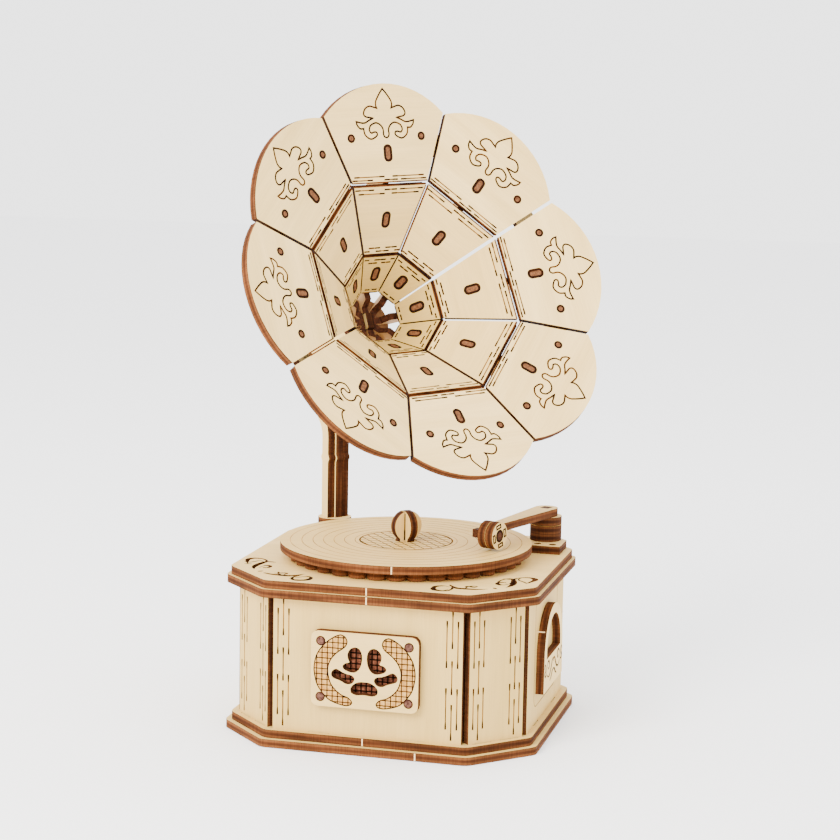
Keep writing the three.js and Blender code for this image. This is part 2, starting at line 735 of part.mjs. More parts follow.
// Horn group: +Z runs out along the horn's axis, +Y is up, the petals are spaced round it
const heading = turned(hornHeading - 90);
const hornAxis = space(heading.x * Math.cos(hornSlope), heading.y * Math.cos(hornSlope), Math.sin(hornSlope));
const hornRight = space(-heading.y, heading.x, 0);
const hornOrigin = space(columnX + heading.x * hornReach, columnY + heading.y * hornReach, hornHeight);
const hornFrame = frameOf(hornRight, hornAxis.clone().cross(hornRight), hornAxis, hornOrigin)
  .multiply(new THREE.Matrix4().makeRotationZ(radians(hornRoll)));
const hornGroup = addGroup(hornFrame);
const facetAngle = (k) => Math.PI / 2 - 2 * sideAngle * k;

// A spoke's frame: x out from the axis, y along it
function spokeFrame(angle) {
  const radial = space(Math.cos(angle), Math.sin(angle), 0);
  const axis = space(0, 0, 1);
  return frameOf(radial, axis, radial.clone().cross(axis), space(0, 0, 0));
}

// A facet's own frame: x along its joint, y out along the slope, z towards the listener
function facetFrame({ start, tilt }, k) {
  const angle = facetAngle(k);
  const radial = space(Math.cos(angle), Math.sin(angle), 0);
  const y = radial.clone().multiplyScalar(Math.cos(tilt)).setZ(Math.sin(tilt));
  const z = radial.clone().multiplyScalar(-Math.sin(tilt)).setZ(Math.cos(tilt));
  return frameOf(y.clone().cross(z), y, z, radial.multiplyScalar(start.x).setZ(start.y));
}

// Half the width of a facet at a place up its slope, less its share of the seam
function facetHalf({ start, tilt }, rise, gap = seamGap) {
  const spread = Math.tan(sideAngle) * Math.cos(tilt);
  return start.x * Math.tan(sideAngle) + rise * spread - gap / 2 * Math.hypot(1, spread);
}

const setback = (inner, outer) => ply * Math.tan((inner.tilt - outer.tilt) / 2) + jointGap / 2;
const ribSlot = (rise) => rounded(
  rectangle(ribThickness + 2 * seatGap, ribSlotLength, point(0, rise)), ribSlotRounding, 3);

function petalShape() {
  const inner = setback(bellBand, petalBand);
  const chord = facetHalf(petalBand, petalLength);
  const radius = (chord ** 2 + petalRise ** 2) / (2 * petalRise);
  const centre = petalLength + petalRise - radius;
  const start = Math.atan2(petalLength - centre, chord);
  const shape = new THREE.Shape();
  shape.moveTo(-facetHalf(petalBand, inner), inner);
  shape.lineTo(facetHalf(petalBand, inner), inner);
  shape.absarc(0, centre, radius, start, Math.PI - start);
  shape.closePath();
  return shape;
}

// A link bridges the seam behind two petals: its pegs show in both, and it stays with the first
function petalSolid() {
  const toNext = facetFrame(petalBand, 0).invert().multiply(facetFrame(petalBand, 1));
  const nextNormal = space(0, 0, 1).transformDirection(toNext);
  const halfFold = space(0, 0, 1).angleTo(nextNormal) / 2;
  const edge = facetHalf(petalBand, linkPegRise, 0) - linkPegPlace;
  const slope = Math.hypot(1, Math.tan(sideAngle) * Math.cos(petalBand.tilt));
  const ridge = edge / slope * Math.sin(halfFold) + seatGap;
  const here = space(linkPegPlace, linkPegRise, -ply);
  const there = space(-linkPegPlace, linkPegRise, -ply).applyMatrix4(toNext);
  const x = there.clone().sub(here).normalize();
  const z = nextNormal.clone().add(space(0, 0, 1)).normalize();
  const middle = here.clone().add(there).divideScalar(2).addScaledVector(z, -ridge);
  const linkFrame = frameOf(x, z.clone().cross(x), z, middle);
  const length = here.distanceTo(there) + 2 * linkEndReach;
  const link = sheet(rounded(rectangle(length, linkWidth), linkEndReach), ply, -ply);
  const pegDepth = ply + ridge + ply / 2;
  const peg = (place) => sheet(circle(linkPegRadius, 12, point(place, linkPegRise)), pegDepth, -pegDepth);
  const pegHole = circle(linkPegRadius + seatGap, 12, point(-linkPegPlace, linkPegRise));
  return pierced(petalShape(), [ribSlot(ribPetalPlace), pegHole], ply, -ply)
    .add(solidOf(placed(link, linkFrame)))
    .add(solidOf(peg(linkPegPlace)))
    .add(solidOf(placed(peg(-linkPegPlace), toNext)));
}

function bellSolid() {
  const inner = setback(throatBand, bellBand);
  const outer = bellLength - setback(bellBand, petalBand);
  const shape = new THREE.Shape([
    point(-facetHalf(bellBand, inner), inner), point(facetHalf(bellBand, inner), inner),
    point(facetHalf(bellBand, outer), outer), point(-facetHalf(bellBand, outer), outer),
  ]);
  return pierced(shape, [ribSlot(bellLength / 2)], ply, -ply);
}

// Where a place on a facet's centre line lies: radius, then height along the axis
const onSlope = ({ start, tilt }, rise, lift) => point(
  start.x + rise * Math.cos(tilt) - lift * Math.sin(tilt),
  start.y + rise * Math.sin(tilt) + lift * Math.cos(tilt),
);

// The throat is one sheet folded round: slit along each fold from its outer edge almost to the inner one
function throatSolid() {
  const outer = throatLength - setback(throatBand, bellBand);
  const onFold = ([rise, lift]) => {
    const { x, y } = onSlope(throatBand, rise, lift);
    return point(x / Math.cos(sideAngle), y);
  };
  const profile = [[0, 0], [0, -ply], [outer, -ply], [outer, 0], [0, 0]].map(onFold);
  const ring = new THREE.LatheGeometry(profile, hornSides, sideAngle).rotateX(Math.PI / 2);
  const slot = sheet(ribSlot(throatLength / 2), ply + 2 * overrun, -ply - overrun);
  const past = outer + overrun;
  const slit = sheet(new THREE.Shape([
    [throatSlitStart, overrun], [throatSlitStart, -ply - overrun], [past, -ply - overrun], [past, overrun],
  ].map(onFold)), throatSlit, -throatSlit / 2);
  return range(hornSides).reduce((solid, k) => solid
    .subtract(solidOf(placed(slot, facetFrame(throatBand, k))))
    .subtract(solidOf(placed(slit, spokeFrame(facetAngle(k) + sideAngle)))), solidOf(ring));
}

// Rib spider: a hub and eight ribs that run up behind the facets, with tabs through their slots
function ribShape() {
  const back = -ply - seatGap;
  const tabHalf = ribTabLength / 2;
  const tab = (band, rise) => [
    onSlope(band, rise - tabHalf, back), onSlope(band, rise - tabHalf, 0),
    onSlope(band, rise + tabHalf, 0), onSlope(band, rise + tabHalf, back),
  ];
  const inFold = (inner, outer) => onSlope(outer, -back * Math.tan((inner.tilt - outer.tilt) / 2), back);
  const throatEdge = onSlope(throatBand, 0, back);
  const tip = onSlope(petalBand, ribEnd, back);
  const heel = onSlope(petalBand, ribEnd, back - ribEndDepth);
  const shape = new THREE.Shape();
  const outline = [
    point(0, hubBack), point(0, ribFront), point(hubRadius, ribFront),
    point(ribShoulderRadius, throatEdge.y), throatEdge,
    ...tab(throatBand, throatLength / 2), inFold(throatBand, bellBand),
    ...tab(bellBand, bellLength / 2), inFold(bellBand, petalBand),
    ...tab(petalBand, ribPetalPlace), tip, heel,
  ];
  outline.forEach(({ x, y }, i) => (i ? shape.lineTo(x, y) : shape.moveTo(x, y)));
  shape.quadraticCurveTo(ribBellyRadius, -ribBellyDepth, hubRadius, hubBack);
  shape.closePath();
  return shape;
}

function spiderSolid() {
  const rib = sheet(ribShape(), ribThickness, -ribThickness / 2);
  const hub = sheet(circle(hubPlateRadius), ply, hubBack);
  const joined = range(hornSides).reduce((solid, k) => solid.add(
    solidOf(placed(rib, spokeFrame(facetAngle(k))))), solidOf(hub));
  const slot = spun(rectangle(ply + 2 * seatGap, neckCoreDepth + 2 * seatGap), -hornRoll, point(0, 0));
  const depth = -hubBack + overrun;
  return joined.subtract(solidOf(sheet(new THREE.Shape(slot), depth, -depth)));
}

addPiece('rib_spider', spiderSolid(), birch(), hornGroup);
addPiece('throat_ring', throatSolid(), birch(), hornGroup);
const bellPanel = geometryOf(bellSolid());
const petal = geometryOf(petalSolid());
range(hornSides).forEach((k) => {
  addPiece(`bell_panel_${k + 1}`, bellPanel, birch(), addGroup(facetFrame(bellBand, k), hornGroup));
  addPiece(`petal_${k + 1}`, petal, birch(), addGroup(facetFrame(petalBand, k), hornGroup));
});

// Movement: spring drum on the spindle, its crown teeth driving the pinned cylinder,
// its rim teeth driving the fan that holds the speed
const bedTop = wallLevel + bedplateThickness;
const rimLevel = bedTop + seatGap;
const rimTop = rimLevel + rimThickness;
const crownTop = rimTop + toothAddendum + toothDedendum;
const pinionRadius = crownRadius * pinionTeeth / crownTeeth;
const cylinderAxis = crownTop - toothAddendum + pinionRadius;
const cylinderStart = rimRadius + toothAddendum + seatGap + bearingThickness + 2 * seatGap;
const farBearing = cylinderStart + cylinderLength + seatGap;
const fanPitchRadius = rimRadius * fanTeeth / rimTeeth;
const fanPlace = turned(fanAzimuth, rimRadius + fanPitchRadius);

function gearShape(teeth, radius, turn = 0) {
  const pitch = Math.PI * 2 / teeth;
  const flank = pitch * toothShare / 2;
  const root = radius - toothDedendum;
  const tip = radius + toothAddendum;
  return new THREE.Shape(range(teeth).flatMap((i) => {
    const at = turn + i * pitch;
    const foot = flank * toothFootShare;
    const crest = flank * toothCrestShare;
    const corners = [[root, -foot], [tip, -crest], [tip, crest], [root, foot]];
    return corners.map(([r, a]) => point(r * Math.cos(at + a), r * Math.sin(at + a)));
  }));
}

function drumSolid() {
  const width = Math.PI * 2 * crownRadius / crownTeeth * toothShare;
  const tooth = new THREE.BoxGeometry(crownFaceWidth, width, crownTop - rimTop + overrun / 2);
  tooth.translate(crownRadius, 0, (crownTop + rimTop - overrun / 2) / 2);
  const rim = solidOf(sheet(gearShape(rimTeeth, rimRadius), rimThickness, rimLevel));
  const drum = solidOf(sheet(circle(drumRadius), drumHeight, rimLevel));
  const bore = solidOf(sheet(spindleHole(), drumHeight + 2 * overrun, rimLevel - overrun));
  const crown = range(crownTeeth).reduce((solid, i) => {
    const place = new THREE.Matrix4().makeRotationZ(Math.PI * 2 * (i + 0.5) / crownTeeth);
    return solid.add(solidOf(placed(tooth, place)));
  }, rim.add(drum));
  return crown.subtract(bore);
}

function bedplateSolid() {
  const right = farBearing + bearingThickness;
  const outline = rounded([
    point(-bedplateLeft, -bedplateFront), point(right, -bedplateFront),
    point(right, bedplateBack), point(-bedplateLeft, bedplateBack),
  ], bedplateRounding);
  const plate = pierced(outline, [spindleHole()], bedplateThickness, wallLevel);
  const bearingHeight = cylinderAxis + bearingWidth / 2 - wallLevel;
  const bearing = new THREE.BoxGeometry(bearingThickness, bearingWidth, bearingHeight);
  const bore = new THREE.CylinderGeometry(arborRadius + seatGap, arborRadius + seatGap, right + overrun, 16)
    .rotateZ(Math.PI / 2).translate(right / 2, 0, cylinderAxis);
  const bearingStarts = [cylinderStart - seatGap - bearingThickness, farBearing];
  const bearings = bearingStarts.reduce((solid, x) => solid.add(solidOf(
    bearing.clone().translate(x + bearingThickness / 2, 0, wallLevel + bearingHeight / 2))), plate);
  const shelf = new THREE.BoxGeometry(combWidth, combBodyDepth, combLevel - wallLevel - seatGap);
  shelf.translate(combMiddle, combBack - combBodyDepth / 2, (wallLevel + combLevel - seatGap) / 2);
  return bearings.subtract(solidOf(bore)).add(solidOf(shelf));
}

// Comb: a steel plate slit into tuned teeth whose tips stand just off the cylinder
const combMiddle = cylinderStart + cylinderLength / 2;
const combLevel = cylinderAxis - combThickness / 2;
const combTip = cylinderRadius + combTipGap;
const combBack = combTip + combToothLength + combBodyDepth;

function combShape() {
  const left = combMiddle - combWidth / 2;
  const teeth = range(combTeeth).flatMap((i) => {
    const from = left + i * combPitch + combSlit / 2;
    const to = from + combPitch - combSlit;
    const shoulder = combTip + combToothLength;
    return [[from, shoulder], [from, combTip], [to, combTip], [to, shoulder]];
  });
  const right = left + combWidth;
  const root = combTip + combToothLength;
  const outline = [[left, combBack], [left, root], ...teeth, [right, root], [right, combBack]];
  return new THREE.Shape(outline.map(([x, y]) => point(x, y)));
}

// The cylinder lies along x: barrel with its pins, arbor, and the pinion over the crown
function cylinderSolid() {
  const lying = (geometry) => placed(geometry, frameOf(
    space(0, 1, 0), space(0, 0, 1), space(1, 0, 0), space(0, 0, cylinderAxis)));
  const toothTurn = -Math.PI / 2;
  const pinionStart = crownRadius - pinionWidth / 2;
  const barrel = solidOf(lying(sheet(circle(cylinderRadius, 32), cylinderLength, cylinderStart)));
  const arbor = solidOf(lying(sheet(
    circle(arborRadius, 12), farBearing + bearingThickness - pinionStart, pinionStart)));
  const pinionTooth = gearShape(pinionTeeth, pinionRadius, toothTurn);
  const pinion = solidOf(lying(sheet(pinionTooth, pinionWidth, pinionStart)));
  const pin = new THREE.BoxGeometry(tunePinHeight * 2, tunePinSide, tunePinSide);
  pin.translate(cylinderRadius, 0, 0);
  return range(combTeeth * tunePinsPerTooth).reduce((solid, i) => {
    const lane = combMiddle + (i % combTeeth - (combTeeth - 1) / 2) * combPitch;
    const spin = new THREE.Matrix4().makeRotationZ(radians(i * turnPerPin)).setPosition(0, 0, lane);
    return solid.add(solidOf(lying(placed(pin, spin))));
  }, barrel.add(arbor).add(pinion));
}

function fanSolid() {
  const meshTurn = radians(fanAzimuth) + Math.PI + Math.PI / fanTeeth;
  const gear = solidOf(sheet(gearShape(fanTeeth, fanPitchRadius, meshTurn), rimThickness, rimLevel));
  const shaft = solidOf(sheet(circle(fanShaftRadius, 10), fanShaftHeight, rimLevel));
  const blade = new THREE.BoxGeometry(fanBladeRadius * 2, fanBladeThickness, fanBladeHeight)
    .translate(0, 0, rimLevel + fanBladeRise + fanBladeHeight / 2);
  return gear.add(shaft).add(solidOf(blade));
}

addPiece('drive_spindle', sheet(
  circle(spindleRadius, 16), recordLevel - wallLevel - 2 * seatGap, wallLevel + seatGap), steel());
addPiece('spring_drum', drumSolid(), brass());
addPiece('movement_bedplate', bedplateSolid(), zinc());
addPiece('tone_comb', sheet(combShape(), combThickness, combLevel), steel());
addPiece('pinned_cylinder', cylinderSolid(), brass());
const fanFrame = new THREE.Matrix4().makeTranslation(fanPlace.x, fanPlace.y, 0);
addPiece('governor_fan', fanSolid(), brass(), addGroup(fanFrame));

export default model;
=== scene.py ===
"""Finishes a plywood music box built like a small gramophone.

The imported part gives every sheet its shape. This script gives each sheet its birch veneer and its
burnt edges, draws what the laser engraved on them, and sets the plain studio round it.
Lengths in the dataclasses are millimetres; everything that reaches Blender is in metres.
"""

import logging
import math
from dataclasses import dataclass, field
from enum import Enum
from typing import Any, Iterable, Mapping, Sequence

import bpy
import numpy as np
from mathutils import Matrix
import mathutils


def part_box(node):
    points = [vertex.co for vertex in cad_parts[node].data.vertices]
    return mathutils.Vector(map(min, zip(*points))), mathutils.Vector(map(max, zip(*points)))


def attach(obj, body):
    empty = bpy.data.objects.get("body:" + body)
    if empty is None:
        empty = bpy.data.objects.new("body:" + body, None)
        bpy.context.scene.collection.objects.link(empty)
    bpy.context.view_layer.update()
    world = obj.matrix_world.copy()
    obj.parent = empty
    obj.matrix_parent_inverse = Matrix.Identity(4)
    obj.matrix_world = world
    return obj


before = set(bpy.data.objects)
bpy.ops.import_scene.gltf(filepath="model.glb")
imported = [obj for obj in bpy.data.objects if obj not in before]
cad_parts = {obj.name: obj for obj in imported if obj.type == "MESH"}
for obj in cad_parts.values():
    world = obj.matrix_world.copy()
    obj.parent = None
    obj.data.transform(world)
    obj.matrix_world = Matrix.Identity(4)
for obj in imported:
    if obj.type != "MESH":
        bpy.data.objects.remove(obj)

MM = 0.001
PLY = 3.0
TINY = 1e-6
LEAST_RISE = 1e-9
SMALL_RING = 20
EAST = (1.0, 0.0, 0.0)
UP = (0.0, 0.0, 1.0)
log = logging.getLogger("music_box")

Material = bpy.types.Material
Socket = bpy.types.NodeSocket
Vector = Sequence[float]
Size = tuple[float, float, float]
Spots = tuple[tuple[float, float], ...]
Sheets = tuple[tuple[str, Size, float, float], ...]


class Body(Enum):
    """The bodies of the part that the drawn pieces ride on."""

    CASE = "case_and_horn"
    TURNTABLE = "turntable"
    ARM = "arm"


class Slot(Enum):
    """The record's material slots, by name; a piece is handed one, but its finish is the material
    given to it.
    """

    PLY = "birch_ply"
    DOWEL = "birch_dowel"


# ---------------------------------------------------------------- colours and nodes


def linear(code: str) -> tuple[float, float, float, float]:
    """Turns an sRGB hex colour into the linear colour that a shader takes.

    Args:
        code: the colour as "#rrggbb".

    Returns:
        Red, green, blue and alpha, linear.
    """
    srgb = [int(code[i : i + 2], 16) / 255 for i in (1, 3, 5)]
    red, green, blue = [c / 12.92 if c <= 0.04045 else ((c + 0.055) / 1.055) ** 2.4 for c in srgb]
    return red, green, blue, 1.0


def add_node(
    material: Material | bpy.types.World, kind: str, values: Mapping[Any, Any], out: int | str = 0
) -> Socket | None:
    """Adds one shader node, sets it and links it.

    Args:
        material: the material or world whose tree gets the node.
        kind: the node's Blender type, without its "ShaderNode".
        values: what each input or property gets, by name or number: a socket to link, a hex colour,
            a colour ramp's stops as places and hex colours, or a plain value.
        out: the name or number of the output that is handed back.

    Returns:
        That output, or None where the node has none.
    """
    tree = material.node_tree
    node = tree.nodes.new("ShaderNode" + kind)
    for key, value in values.items():
        if isinstance(value, Socket):
            tree.links.new(value, node.inputs[key])
        elif key == "stops":
            elements = node.color_ramp.elements
            for element, (place, code) in zip(elements, value):
                element.position, element.color = place, linear(code)
            for place, code in value[len(elements) :]:
                elements.new(place).color = linear(code)
        elif isinstance(key, int) or key in node.inputs:
            node.inputs[key].default_value = linear(value) if isinstance(value, str) else value
        else:
            setattr(node, key, value)
    return node.outputs[out] if len(node.outputs) else None


def new_material(name: str) -> Material:
    """Makes an empty node material.

    Args:
        name: the finish's name.

    Returns:
        The material.
    """
    material = bpy.data.materials.new(name)
    material.use_nodes = True
    material.node_tree.nodes.clear()
    return material


BLEND = {"data_type": "RGBA"}
MULTIPLY = {"data_type": "RGBA", "blend_type": "MULTIPLY"}


# ---------------------------------------------------------------- how a sheet lies


@dataclass(frozen=True)
class Lie:
    """How a sheet lies: its middle in millimetres, and its grain, cross and outward directions."""

    middle: np.ndarray
    grain: np.ndarray
    cross: np.ndarray
    out: np.ndarray

    @classmethod
    def of(cls, middle: Vector, out: Vector, grain: Vector) -> "Lie":
        """Squares up a lie: out is kept, and the grain is laid flat into the sheet.

        Args:
            middle: a point in the sheet.
            out: the direction that the sheet's good face looks.
            grain: roughly where the grain runs.

        Returns:
            The lie, with three unit directions at right angles.
        """
        outward = np.asarray(out, float) / np.linalg.norm(out)
        flat = np.asarray(grain, float) - np.dot(grain, outward) * outward
        flat /= np.linalg.norm(flat)
        return cls(np.asarray(middle, float), flat, np.cross(outward, flat), outward)

    def place(self, points: np.ndarray, lift: float = 0.0) -> np.ndarray:
        """Puts flat points on the sheet: middle plus x grains, y crosses and the lift outward.

        Args:
            points: an array whose last axis holds x and y in millimetres.
            lift: how far off the sheet, in millimetres.

        Returns:
            The same array with three coordinates in place of two.
        """
        flat = np.asarray(points, float)
        level = self.middle + flat[..., :1] * self.grain + flat[..., 1:2] * self.cross
        return level + lift * self.out

    def moved(self, x: float = 0.0, y: float = 0.0, lift: float = 0.0) -> "Lie":
        """The same lie from another middle."""
        return Lie(self.place(np.array([x, y]), lift), self.grain, self.cross, self.out)


LEVEL = Lie.of((0, 0, 0), UP, EAST)


def cells(material: Material, lie: Lie, size: Vector) -> Socket:
    """Coordinates that count a pattern's cells along, across and through a sheet.

    Args:
        material: the material that gets the nodes.
        lie: how the sheet lies, so that the pattern is turned and centred with it.
        size: the cell's size in millimetres along the grain, across it and through the sheet.

    Returns:
        The coordinates' socket.
    """
    basis = Matrix(np.stack([lie.grain, lie.cross, lie.out], axis=1).tolist())
    return add_node(material, "Mapping", {
        "vector_type": "TEXTURE",
        "Location": (lie.middle * MM).tolist(),
        "Rotation": tuple(basis.to_euler()),
        "Scale": [each * MM for each in size],
        "Vector": add_node(material, "TexCoord", {}, "Object"),
    })


def uneven(material: Material, lie: Lie, size: Vector, detail: float = 2.0) -> Socket:
    """An uneven pattern of light and dark cells, each about the stated size; see cells."""
    values = {"Scale": 1.0, "Detail": detail, "Vector": cells(material, lie, size)}
    return add_node(material, "TexNoise", values)


def surfaced(
    material: Material,
    colour: Socket,
    settings: Mapping[str, float],
    relief: Socket | None = None,
    depth: float = 0.0,
) -> Material:
    """Closes a material with its shader, and with a bump where it has relief.

    Args:
        material: the material to close.
        colour: its colour.
        settings: the shader's even values by input name.
        relief: the height pattern.
        depth: the relief's depth in millimetres.

    Returns:
        The same material.
    """
    values = {**settings, "Base Color": colour}
    if relief is not None:
        bump = {"Distance": depth * MM, "Strength": 1.0, "Height": relief}
        values["Normal"] = add_node(material, "Bump", bump)
    add_node(material, "OutputMaterial", {"Surface": add_node(material, "BsdfPrincipled", values)})
    return material


# ---------------------------------------------------------------- finishes


@dataclass(frozen=True)
class BirchVeneer:
    """Rotary cut birch veneer, sanded and left bare.

    The eye sees a pale cream sheet with long faint fibres, a slow drift of warmer and cooler bands
    and a few short brown flecks, nearly matt. The fibres are drawn coarser than the real 0.1 mm, so
    that they show. The sizes are along the grain, across it and through the sheet.
    """

    pale: str = "#f0cd88"
    warm: str = "#bd9a4b"
    fleck: str = "#9c7140"
    fibre: Size = (14.0, 0.45, 4.0)
    fibre_stops: tuple = ((0.3, "#8a7a66"), (0.7, "#ffffff"))
    fibre_share: float = 0.12
    fibre_depth: float = 0.02
    band: Size = (60.0, 6.5, 8.0)
    band_stops: tuple = ((0.3, "#000000"), (0.7, "#ffffff"))
    band_share: float = 0.35
    fleck_size: Size = (2.4, 0.2, 2.0)
    fleck_stops: tuple = ((0.68, "#000000"), (0.78, "#ffffff"))
    fleck_share: float = 0.22
    soft_detail: float = 1.0
    roughness: float = 0.6
    specular: float = 0.25

    def material(self, name: str, lie: Lie, warmth: float) -> Material:
        """Builds the veneer for one sheet.

        Args:
            name: the sheet's name.
            lie: how the sheet lies; the grain follows it.
            warmth: from 0, the palest sheet, to 1, the warmest.

        Returns:
            The material.
        """
        made = new_material(f"birch_veneer_{name}")
        fibres = uneven(made, lie, self.fibre)
        bands = uneven(made, lie, self.band, self.soft_detail)
        flecks = uneven(made, lie, self.fleck_size, self.soft_detail)
        fibre_tone = add_node(made, "ValToRGB", {0: fibres, "stops": self.fibre_stops})
        band_tone = add_node(made, "ValToRGB", {0: bands, "stops": self.band_stops})
        fleck_tone = add_node(made, "ValToRGB", {0: flecks, "stops": self.fleck_stops})
        ground = add_node(made, "Mix", {**BLEND, 0: warmth, 6: self.pale, 7: self.warm}, 2)
        warmer = add_node(made, "Mix", {**BLEND, 0: self.band_share, 6: ground, 7: self.warm}, 2)
        drifting = add_node(made, "Mix", {**BLEND, 0: band_tone, 6: ground, 7: warmer}, 2)
        grained = add_node(made, "Mix", {
            **MULTIPLY, 0: self.fibre_share, 6: drifting, 7: fibre_tone,
        }, 2)
        share = add_node(made, "Math", {
            "operation": "MULTIPLY", 0: fleck_tone, 1: self.fleck_share,
        })
        colour = add_node(made, "Mix", {**BLEND, 0: share, 6: grained, 7: self.fleck}, 2)
        gloss = {"Roughness": self.roughness, "Specular IOR Level": self.specular}
        return surfaced(made, colour, gloss, fibres, self.fibre_depth)


@dataclass(frozen=True)
class BurntEdge:
    """The laser cut edge of 3 mm birch plywood.

    The eye sees brown char with fine upright ridges left by the beam, a thin dark line along both
    rims, a slightly darker core and slow smoky patches. The ridges are drawn coarser than the real
    0.2 mm, so that they show.
    """

    core: str = "#5c3219"
    outer: str = "#7c4b28"
    rim: str = "#452410"
    smoke: str = "#240f06"
    ridge: Size = (0.5, 0.5, 60.0)
    ridge_stops: tuple = ((0.32, "#b8b8b8"), (0.68, "#ffffff"))
    ridge_share: float = 0.5
    ridge_depth: float = 0.05
    ridge_detail: float = 0.0
    patch: Size = (20.0, 20.0, 2.0)
    patch_range: tuple[float, float] = (0.4, 0.62)
    smoke_gain: float = 0.8
    smoke_spread: float = 0.4
    layers: tuple[float, ...] = (0.0, 0.24, 0.42, 0.84, 1.0)
    roughness: float = 0.8
    specular: float = 0.06

    def material(self, name: str, lie: Lie, char: float) -> Material:
        """Builds the edge for one sheet.

        Args:
            name: the sheet's name.
            lie: how the sheet lies; the layers are counted out from its middle.
            char: from 0, lightly burnt, to 1, nearly black.

        Returns:
            The material.
        """
        made = new_material(f"burnt_edge_{name}")
        height = add_node(made, "SeparateXYZ", {0: cells(made, lie, (PLY, PLY, PLY / 2))}, "Z")
        from_middle = add_node(made, "Math", {"operation": "ABSOLUTE", 0: height})
        tones = self.core, self.core, self.outer, self.outer, self.rim
        stops = tuple(zip(self.layers, tones))
        layers = add_node(made, "ValToRGB", {0: from_middle, "stops": stops})
        ridges = uneven(made, lie, self.ridge, self.ridge_detail)
        ridge_tone = add_node(made, "ValToRGB", {0: ridges, "stops": self.ridge_stops})
        least = self.smoke_gain * char
        smoke = add_node(made, "MapRange", {
            "From Min": self.patch_range[0], "From Max": self.patch_range[1],
            "To Min": least, "To Max": min(1.0, self.smoke_spread + least),
            0: uneven(made, lie, self.patch),
        })
        smoky = add_node(made, "Mix", {**BLEND, 0: smoke, 6: layers, 7: self.smoke}, 2)
        colour = add_node(made, "Mix", {
            **MULTIPLY, 0: self.ridge_share, 6: smoky, 7: ridge_tone,
        }, 2)
        gloss = {"Roughness": self.roughness, "Specular IOR Level": self.specular}
        return surfaced(made, colour, gloss, ridges, self.ridge_depth)


@dataclass(frozen=True)
class Engraving:
    """A line that the laser burnt into the veneer.

    The eye sees a thin brown line that is dark where the beam slowed and tan where it ran fast. The
    blend from dark to light has its middle at the first balance number plus the second times the
    darkness.
    """

    name: str
    dark: str = "#1c0d05"
    light: str = "#6a4521"
    darkness: float = 0.5
    run: float = 5.0
    balance: tuple[float, float] = (0.35, 0.3)
    half_blend: float = 0.12
    roughness: float = 0.85
    specular: float = 0.03

    def material(self) -> Material:
        """Builds the char, its tone drifting along the line over about the run's length.

        Returns:
            The material.
        """
        made = new_material(f"burnt_line_{self.name}")
        drift = uneven(made, LEVEL, (self.run,) * 3)
        start, gain = self.balance
        middle = start + gain * self.darkness
        stops = (
            (max(0.0, middle - self.half_blend), self.dark),
            (min(1.0, middle + self.half_blend), self.light),
        )
        colour = add_node(made, "ValToRGB", {0: drift, "stops": stops})
        gloss = {"Roughness": self.roughness, "Specular IOR Level": self.specular}
        return surfaced(made, colour, gloss)


@dataclass(frozen=True)
class PlainWood:
    """Small turned or split birch, such as a dowel or a broken stub, and the browns that paint
    shade behind the grille and on the horn's hub.

    The eye sees one brown tone, broken by fine fibre specks.
    """

    name: str
    tone: str
    dark: str
    speck: float = 0.5
    blend: tuple[float, float] = (0.35, 0.65)
    relief: float = 0.04
    roughness: float = 0.75
    specular: float = 0.1

    def material(self) -> Material:
        """Builds the wood from two tones mixed by fine specks.

        Returns:
            The material.
        """
        made = new_material(self.name)
        specks = uneven(made, LEVEL, (self.speck,) * 3)
        stops = tuple(zip(self.blend, (self.dark, self.tone)))
        colour = add_node(made, "ValToRGB", {0: specks, "stops": stops})
        gloss = {"Roughness": self.roughness, "Specular IOR Level": self.specular}
        return surfaced(made, colour, gloss, specks, self.relief)


@dataclass(frozen=True)
class WorkedMetal:
    """A metal of the movement: die cast zinc, ground spring steel or turned brass.

    The eye sees its own tint, with the fine grit or lines of how it was made in the gloss.
    """

    name: str
    tone: str
    dark: str
    roughness: float
    grit: Size
    detail: float = 3.0
    blend: tuple[float, float] = (0.3, 0.7)
    relief: float = 0.02

    def material(self) -> Material:
        """Builds the metal with its grit in colour and relief.

        Returns:
            The material.
        """
        made = new_material(self.name)
        grit = uneven(made, LEVEL, self.grit, self.detail)
        stops = tuple(zip(self.blend, (self.dark, self.tone)))
        colour = add_node(made, "ValToRGB", {0: grit, "stops": stops})
        gloss = {"Roughness": self.roughness, "Metallic": 1.0}
        return surfaced(made, colour, gloss, grit, self.relief)


BARE_BIRCH = PlainWood("bare_birch", "#ecd2a6", "#d9b27a")
DEEP_CHAR = Engraving("deep", light="#301404", darkness=1.0)


# ---------------------------------------------------------------- surfaces


